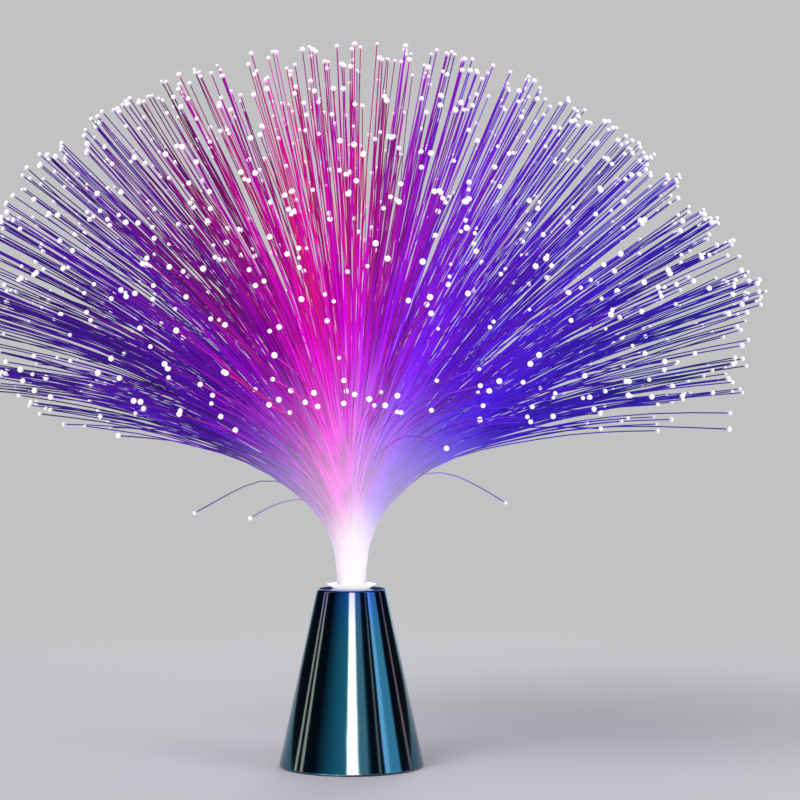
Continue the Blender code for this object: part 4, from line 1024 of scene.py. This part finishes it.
# %% Three cells
finishes["cell_jacket"] = surface(
    "cell_jacket", (0.035, 0.075, 0.125), moulded_grain, 900, 0.30, 0.10, 0.000005, coat=0.5
)
cell_band = surface("cell_band", (0.50, 0.51, 0.52), rubbed_metal, 500, 0.34, 0.12, 0.000005, metallic=0.8, coat=0.5)
cell_rows = ((1, -1), (-1, 0), (1, 1))  # side of the flat foot, and row
cell_place, cell_height, cell_foot, spring_foot = 0.0108, 0.00855, 0.0200, 0.0242
cell_radius, end_radius, curl, band_start = 0.00525, 0.0041, 0.0005, 0.0335
cell_profile = [
    (0, 0.0002), (end_radius, 0.0002), (0.0042, 0), (0.0047, 0), *arc((0.00475, curl), curl, -90, 0, 4),
    (cell_radius, band_start), *arc((0.00475, 0.0431), curl, 0, 90, 4), (0.0042, 0.0436), (end_radius, 0.0434),
    (0.0020, 0.0434), (0.0019, 0.0436), (0.0019, 0.0442), (0.0016, 0.0445), (0, 0.0445),
]


def cell_material(centre):
    """Number of the material of a face: the jacket, its band, or the bare metal of the ends."""
    if centre.xy.length < end_radius:
        return 2
    return 0 if centre.z < band_start else 1


def along_rows(distance):
    """A place at one end of each cell, turned so that up runs from the spring to the button."""
    return [((side * distance, row * cell_place, cell_height), (0, -side * 90, 0)) for side, row in cell_rows]


cell_materials = [finishes["cell_jacket"], cell_band, finishes["nickel_sheet"]]
cell_mesh = turned_mesh("cell", cell_profile, 56, cell_materials, material_of=cell_material)
battery_cells = set_out("battery_cells", cell_mesh, along_rows(cell_foot))
settle(battery_cells, "base", "cell_jacket", "battery_cell_1", "battery_cell_2", "battery_cell_3")

# %% Tree: coil spring
spring_tree, spring, spring_out = new_tree("Coil Spring", "GeometryNodeTree", [
    ("Turns", "Float", 3.5), ("Wide Radius", "Float", 0.003), ("Narrow Radius", "Float", 0.002),
    ("Length", "Float", 0.0036), ("Wire Radius", "Float", 0.0003), ("Material", "Material", None),
], [("Geometry", "Geometry")])
coil = place(spring_tree, "GeometryNodeCurveSpiral", {
    "Resolution": 24, "Rotations": spring["Turns"], "Start Radius": spring["Wide Radius"],
    "End Radius": spring["Narrow Radius"], "Height": spring["Length"],
})
round_section = place(spring_tree, "GeometryNodeCurvePrimitiveCircle", {
    "Resolution": 8, "Radius": spring["Wire Radius"],
})
coiled = place(spring_tree, "GeometryNodeCurveToMesh", {0: wire(coil), 1: wire(round_section), "Fill Caps": True})
dressed(spring_tree, wire(coiled), spring["Material"], spring_out)

# %% Three springs
one_spring = grow("one_spring", spring_tree, {"Material": finishes["nickel_sheet"]})
spring_mesh = one_spring.data
bpy.data.objects.remove(one_spring)
contact_springs = set_out("contact_springs", spring_mesh, along_rows(spring_foot), finishes["nickel_sheet"])
settle(contact_springs, "base", "nickel_sheet", "contact_spring_1", "contact_spring_2", "contact_spring_3")

# %% [markdown]
# ## Light diodes
#
# Three diodes stand on the board under the potted fibres. Each is a tinted lens with a domed top and a flange,
# on two thin leads; inside it one lead ends in the small cup that holds the chip.


# %% Lenses and leads
def lens_finish(name, colour, glow_colour):
    """Tinted clear plastic, lit from inside and a little cloudy."""
    material, shader = new_material(name)
    tree = material.node_tree
    cloud = noise(object_spot(tree), 900.0, Detail=2.0)
    connect(blend(tree, ease(cloud, 0.3, 0.7), colour, glow_colour), shader.inputs["Base Color"])
    connect(ease(cloud, 0.3, 0.7, 0.10, 0.20), shader.inputs["Roughness"])
    shader.inputs["Transmission Weight"].default_value = 0.55
    shader.inputs["Emission Color"].default_value = (*glow_colour, 1)
    shader.inputs["Emission Strength"].default_value = 1.2
    return material


diode_circle, flange_radius, flange_height, lens_radius, dome_start = 0.0042, 0.0029, 0.001, 0.0025, 0.0061
lens_profile = [
    (0, 0), (flange_radius, 0), (flange_radius, flange_height), (lens_radius, flange_height),
    *arc((0, dome_start), lens_radius, 0, 90, 10),
]
diodes = {
    # bearing on the board, colour of the plastic, colour of the glow
    "red": (180, (0.62, 0.03, 0.03), (1.0, 0.10, 0.08)),
    "green": (300, (0.04, 0.45, 0.08), (0.12, 1.0, 0.20)),
    "blue": (60, (0.03, 0.06, 0.60), (0.12, 0.20, 1.0)),
}
diode_places = []
for label, (bearing, colour, glow_colour) in diodes.items():
    name = f"{label}_lens"
    finish = finishes[name] = lens_finish(name, colour, glow_colour)
    diode_places.append((polar(diode_circle, bearing, board_top), (0, 0, bearing + 90)))
    lens = set_out(name, turned_mesh(name + "_shape", lens_profile, 40, [finish]), diode_places[-1:], finish)
    settle(lens, "base", name, f"led_{label}")

lead_spread, lead_radius, lead_depth = 0.00127, 0.00025, 0.0023
bm = bmesh.new()
for side, rise in ((-1, 0.0040), (1, 0.0046)):
    length = rise + lead_depth
    bmesh.ops.create_cone(
        bm, cap_ends=True, segments=10, radius1=lead_radius, radius2=lead_radius, depth=length,
        matrix=Matrix.Translation((side * lead_spread, 0, length / 2 - lead_depth)),
    )
bmesh.ops.create_cone(
    bm, cap_ends=True, segments=12, radius1=0.0004, radius2=0.0009, depth=0.0012,
    matrix=Matrix.Translation((-lead_spread / 2, 0, 0.0040)),
)
diode_leads = set_out("diode_leads", smooth_shaded(to_mesh("leads", bm), 40), diode_places, finishes["nickel_sheet"])
settle(diode_leads, "base", "nickel_sheet", "led_red", "led_green", "led_blue")

# %% [markdown]
# ## Moulded pieces with softened edges
#
# No moulded edge is sharp: the tool leaves a small round on each. The plate, the door and the knob of the switch
# are copied from the frame, their triangles joined into whole faces, and their edges rounded off. Normals
# weighted by area keep the large faces flat in the light, and leave the bending to the narrow rounds.


# %% Plate, door and knob
def softened(name, node_name, width, segments, finish):
    """A copy of a node of the frame with rounded edges."""
    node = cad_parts[node_name]
    bm = bmesh.new()
    bm.from_mesh(node.data)
    bm.transform(node.matrix_world)
    bmesh.ops.remove_doubles(bm, verts=bm.verts, dist=1e-6)
    bmesh.ops.dissolve_limit(bm, angle_limit=math.radians(0.5), verts=bm.verts, edges=bm.edges)
    bmesh.ops.recalc_face_normals(bm, faces=bm.faces)
    mesh = to_mesh(name, bm)
    mesh.materials.append(finish)
    mesh.shade_smooth()
    piece = add_piece(name, mesh)
    bevel = piece.modifiers.new("round", "BEVEL")
    bevel.width, bevel.segments, bevel.limit_method, bevel.angle_limit = width, segments, "ANGLE", math.radians(32)
    flats = piece.modifiers.new("flats", "WEIGHTED_NORMAL")
    flats.weight = 100
    result = baked(piece)
    piece.modifiers.clear()
    piece.data = result
    print(f"{name}: {len(mesh.polygons)} faces, rounded to {len(result.polygons)}")
    return piece


moulded = {}
for name, node_name, body, width in (
    ("moulded_plate", "bottom_plate", "base", 0.00020), ("moulded_door", "battery_door", "door", 0.00020),
    ("moulded_knob", "switch_knob", "switch", 0.00015),
):
    moulded[name] = softened(name, node_name, width, 2, finishes["black_plastic"])
    settle(moulded[name], body, "black_plastic", node_name)

# %% [markdown]
# ## Every other node keeps its shape
#
# Switch body, board, resistors, contacts and wires have the right shape in the frame, so they only get a finish.

# %% Finishes for the frame's own nodes
for node_name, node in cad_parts.items():
    for material_slot in node.material_slots:
        plain_name = material_slot.material.name.split(".")[0] if material_slot.material else ""
        if plain_name in finishes:
            material_slot.material = finishes[plain_name]
        else:
            print("no finish yet:", node_name, plain_name)

# %% [markdown]
# ## Floor, background and light
#
# The stage is plain: a pale floor that fades into a pale background, and soft lamps at a level at which a colour
# comes out as it is written. The floor can be seen through from below.

# %% The floor
pale = (0.54, 0.54, 0.55)
bm = bmesh.new()
bmesh.ops.create_circle(bm, cap_ends=True, radius=6.0, segments=96)
floor = add_piece("floor", to_mesh("floor", bm))

floor_finish = bpy.data.materials.new("floor")
tree = bare_tree(floor_finish)
far = vector_sum("LENGTH", object_spot(tree), key="Value")
near_floor = place(tree, "ShaderNodeBsdfDiffuse", {"Color": (*pale, 1)})
far_floor = place(tree, "ShaderNodeEmission", {"Color": (*pale, 1), "Strength": 1.0})
fade = place(tree, "ShaderNodeMixShader", {0: ease(far, 0.35, 1.2), 1: wire(near_floor), 2: wire(far_floor)})
behind = wire(tree.nodes.new("ShaderNodeNewGeometry"), "Backfacing")
clear = wire(place(tree, "ShaderNodeBsdfTransparent"))
see_through = place(tree, "ShaderNodeMixShader", {0: behind, 1: wire(fade), 2: clear})
place(tree, "ShaderNodeOutputMaterial", {"Surface": wire(see_through)})
floor.data.materials.append(floor_finish)

# %% The background
world = bpy.data.worlds.new("background")
bpy.context.scene.world = world
tree = bare_tree(world)
path = tree.nodes.new("ShaderNodeLightPath")
seen = wire(path, "Is Camera Ray")
for ray in ("Is Glossy Ray", "Is Transmission Ray"):
    seen = seen.math("MAXIMUM", wire(path, ray))
around = place(tree, "ShaderNodeBackground", {"Color": (0.95, 0.97, 1.0, 1), "Strength": 0.45})
backdrop = place(tree, "ShaderNodeBackground", {"Color": (*pale, 1), "Strength": 1.0})
both = place(tree, "ShaderNodeMixShader", {0: seen, 1: wire(around), 2: wire(backdrop)})
place(tree, "ShaderNodeOutputWorld", {"Surface": wire(both)})


# %% The lamps
def soft_lamp(name, place_at, size, power, colour=(1, 1, 1)):
    """A square area lamp that looks at the middle of the lamp."""
    light = bpy.data.lights.new(name, "AREA")
    light.size = size
    light.energy = power
    light.color = colour
    lamp = bpy.data.objects.new(name, light)
    lamp.location = place_at
    lamp.rotation_euler = (Vector((0, 0, 0.12)) - Vector(place_at)).to_track_quat("-Z", "Y").to_euler()
    bpy.context.scene.collection.objects.link(lamp)
    lamp.visible_glossy = False
    return lamp


soft_lamp("key_light", (-1.6, -2.0, 2.6), 1.6, 72.0)
soft_lamp("fill_light", (2.2, -1.4, 1.2), 1.6, 24.0)
soft_lamp("back_light", (0.3, 2.4, 1.8), 1.4, 28.0)

# %% A lamp for the underside
under_light = soft_lamp("under_light", (-0.35, -0.45, -0.9), 0.9, 13.0)
under_light.visible_glossy = True
underside = bpy.data.collections.new("underside")
for piece in (
    *moulded.values(), plated_cone, plate_posts, foot_pads, battery_cells, contact_springs,
    bpy.data.objects["plate_screws"], bpy.data.objects["door_screws"], bpy.data.objects["switch_screws"],
    *[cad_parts[name] for name in (
        "positive_contact", "negative_contact", "link_contact_front", "link_contact_rear", "switch_body",
    )],
):
    underside.objects.link(piece)
under_light.light_linking.receiver_collection = underside
under_light.light_linking.blocker_collection = underside

# %% [markdown]
# ## Cards that the plating mirrors
#
# A mirror shows what stands round it. A photographer sets white, tinted and black cards round plated work, and
# each card becomes a stripe that runs from foot to top of the cone. Here the cards are one tall ring with a
# colour for each bearing. It stands far outside, only glossy rays meet it, and its light is linked to the cone
# alone, so it neither lights the rest nor casts a shadow. Each colour is written as it should look in the
# plating, and is divided by the plating's tint.

# %% Stripes of the ring
black, deep, teal = (0.001, 0.003, 0.006), (0.003, 0.022, 0.042), (0.006, 0.075, 0.130)
white, halo = (1.1, 1.1, 1.1), (0.10, 0.42, 0.50)
muted, line, dim = (0.036, 0.125, 0.185), (0.20, 0.25, 0.23), (0.070, 0.080, 0.095)
faint, sky, sky_side = (0.06, 0.10, 0.12), (0.10, 0.34, 0.60), (0.030, 0.170, 0.300)
navy = (0.0015, 0.007, 0.030)
stripes = [
    # bearing round the ring in degrees, from the camera's side and positive to the right, and colour
    (-180, navy), (-176, navy), (-173, sky_side), (-165, sky_side), (-158, teal), (-146, deep), (-138, black),
    (-101.5, black), (-100, line), (-96.5, line), (-95.2, black), (-89, black), (-87.5, line), (-83.5, line),
    (-82, black), (-60, black), (-48, deep), (-26, teal), (-8, (0.008, 0.100, 0.170)), (-6.8, halo), (-5.2, white),
    (10.6, white), (12.4, halo), (14.5, muted), (27, muted), (31, deep), (35, black), (45.5, black), (46.5, faint),
    (48.5, faint), (50, black), (55, black), (57, sky), (62, sky), (68, sky_side), (84, sky_side), (88, black),
    (106, black), (107.5, dim), (112, dim), (113.5, black), (138, black), (146, deep), (152, sky_side),
    (160, sky_side), (166, teal), (172, teal), (176, navy), (180, navy),
]
columns = [stripes[0]]
for (start, first), (end, second) in zip(stripes, stripes[1:]):
    count = math.ceil((end - start) / 4)
    for part in range(1, count + 1):
        mixed = Vector(first).lerp(Vector(second), part / count)
        columns.append((start + (end - start) * part / count, tuple(mixed)))

# %% The ring
ring_radius, ring_foot, ring_top = 3.2, 0.005, 4.0
bm = bmesh.new()
look = bm.verts.layers.float_color.new("look")
pairs = []
for bearing, colour in columns:
    x, y = ring_radius * math.sin(math.radians(bearing)), -ring_radius * math.cos(math.radians(bearing))
    pair = (bm.verts.new((x, y, ring_foot)), bm.verts.new((x, y, ring_top)))
    for vertex in pair:
        vertex[look] = (*[part / tint for part, tint in zip(colour, plating_tint)], 1)
    pairs.append(pair)
for (low_a, high_a), (low_b, high_b) in zip(pairs, pairs[1:]):
    bm.faces.new((low_a, low_b, high_b, high_a))
ring_mesh = to_mesh("card_ring", bm)
ring_finish = bpy.data.materials.new("card_ring")
tree = bare_tree(ring_finish)
glow = place(tree, "ShaderNodeEmission", {
    "Color": wire(place(tree, "ShaderNodeAttribute", attribute_name="look"), "Color"),
})
place(tree, "ShaderNodeOutputMaterial", {"Surface": wire(glow)})
ring_mesh.materials.append(ring_finish)
card_ring = add_piece("card_ring", ring_mesh)
for ray in ("camera", "diffuse", "transmission", "volume_scatter", "shadow"):
    setattr(card_ring, f"visible_{ray}", False)
mirrors = bpy.data.collections.new("mirrors")
mirrors.objects.link(plated_cone)
card_ring.light_linking.receiver_collection = mirrors
print(len(columns), "columns in the ring of cards")

# %% Settings of the view, and the end
bpy.context.scene.view_settings.view_transform = "Standard"
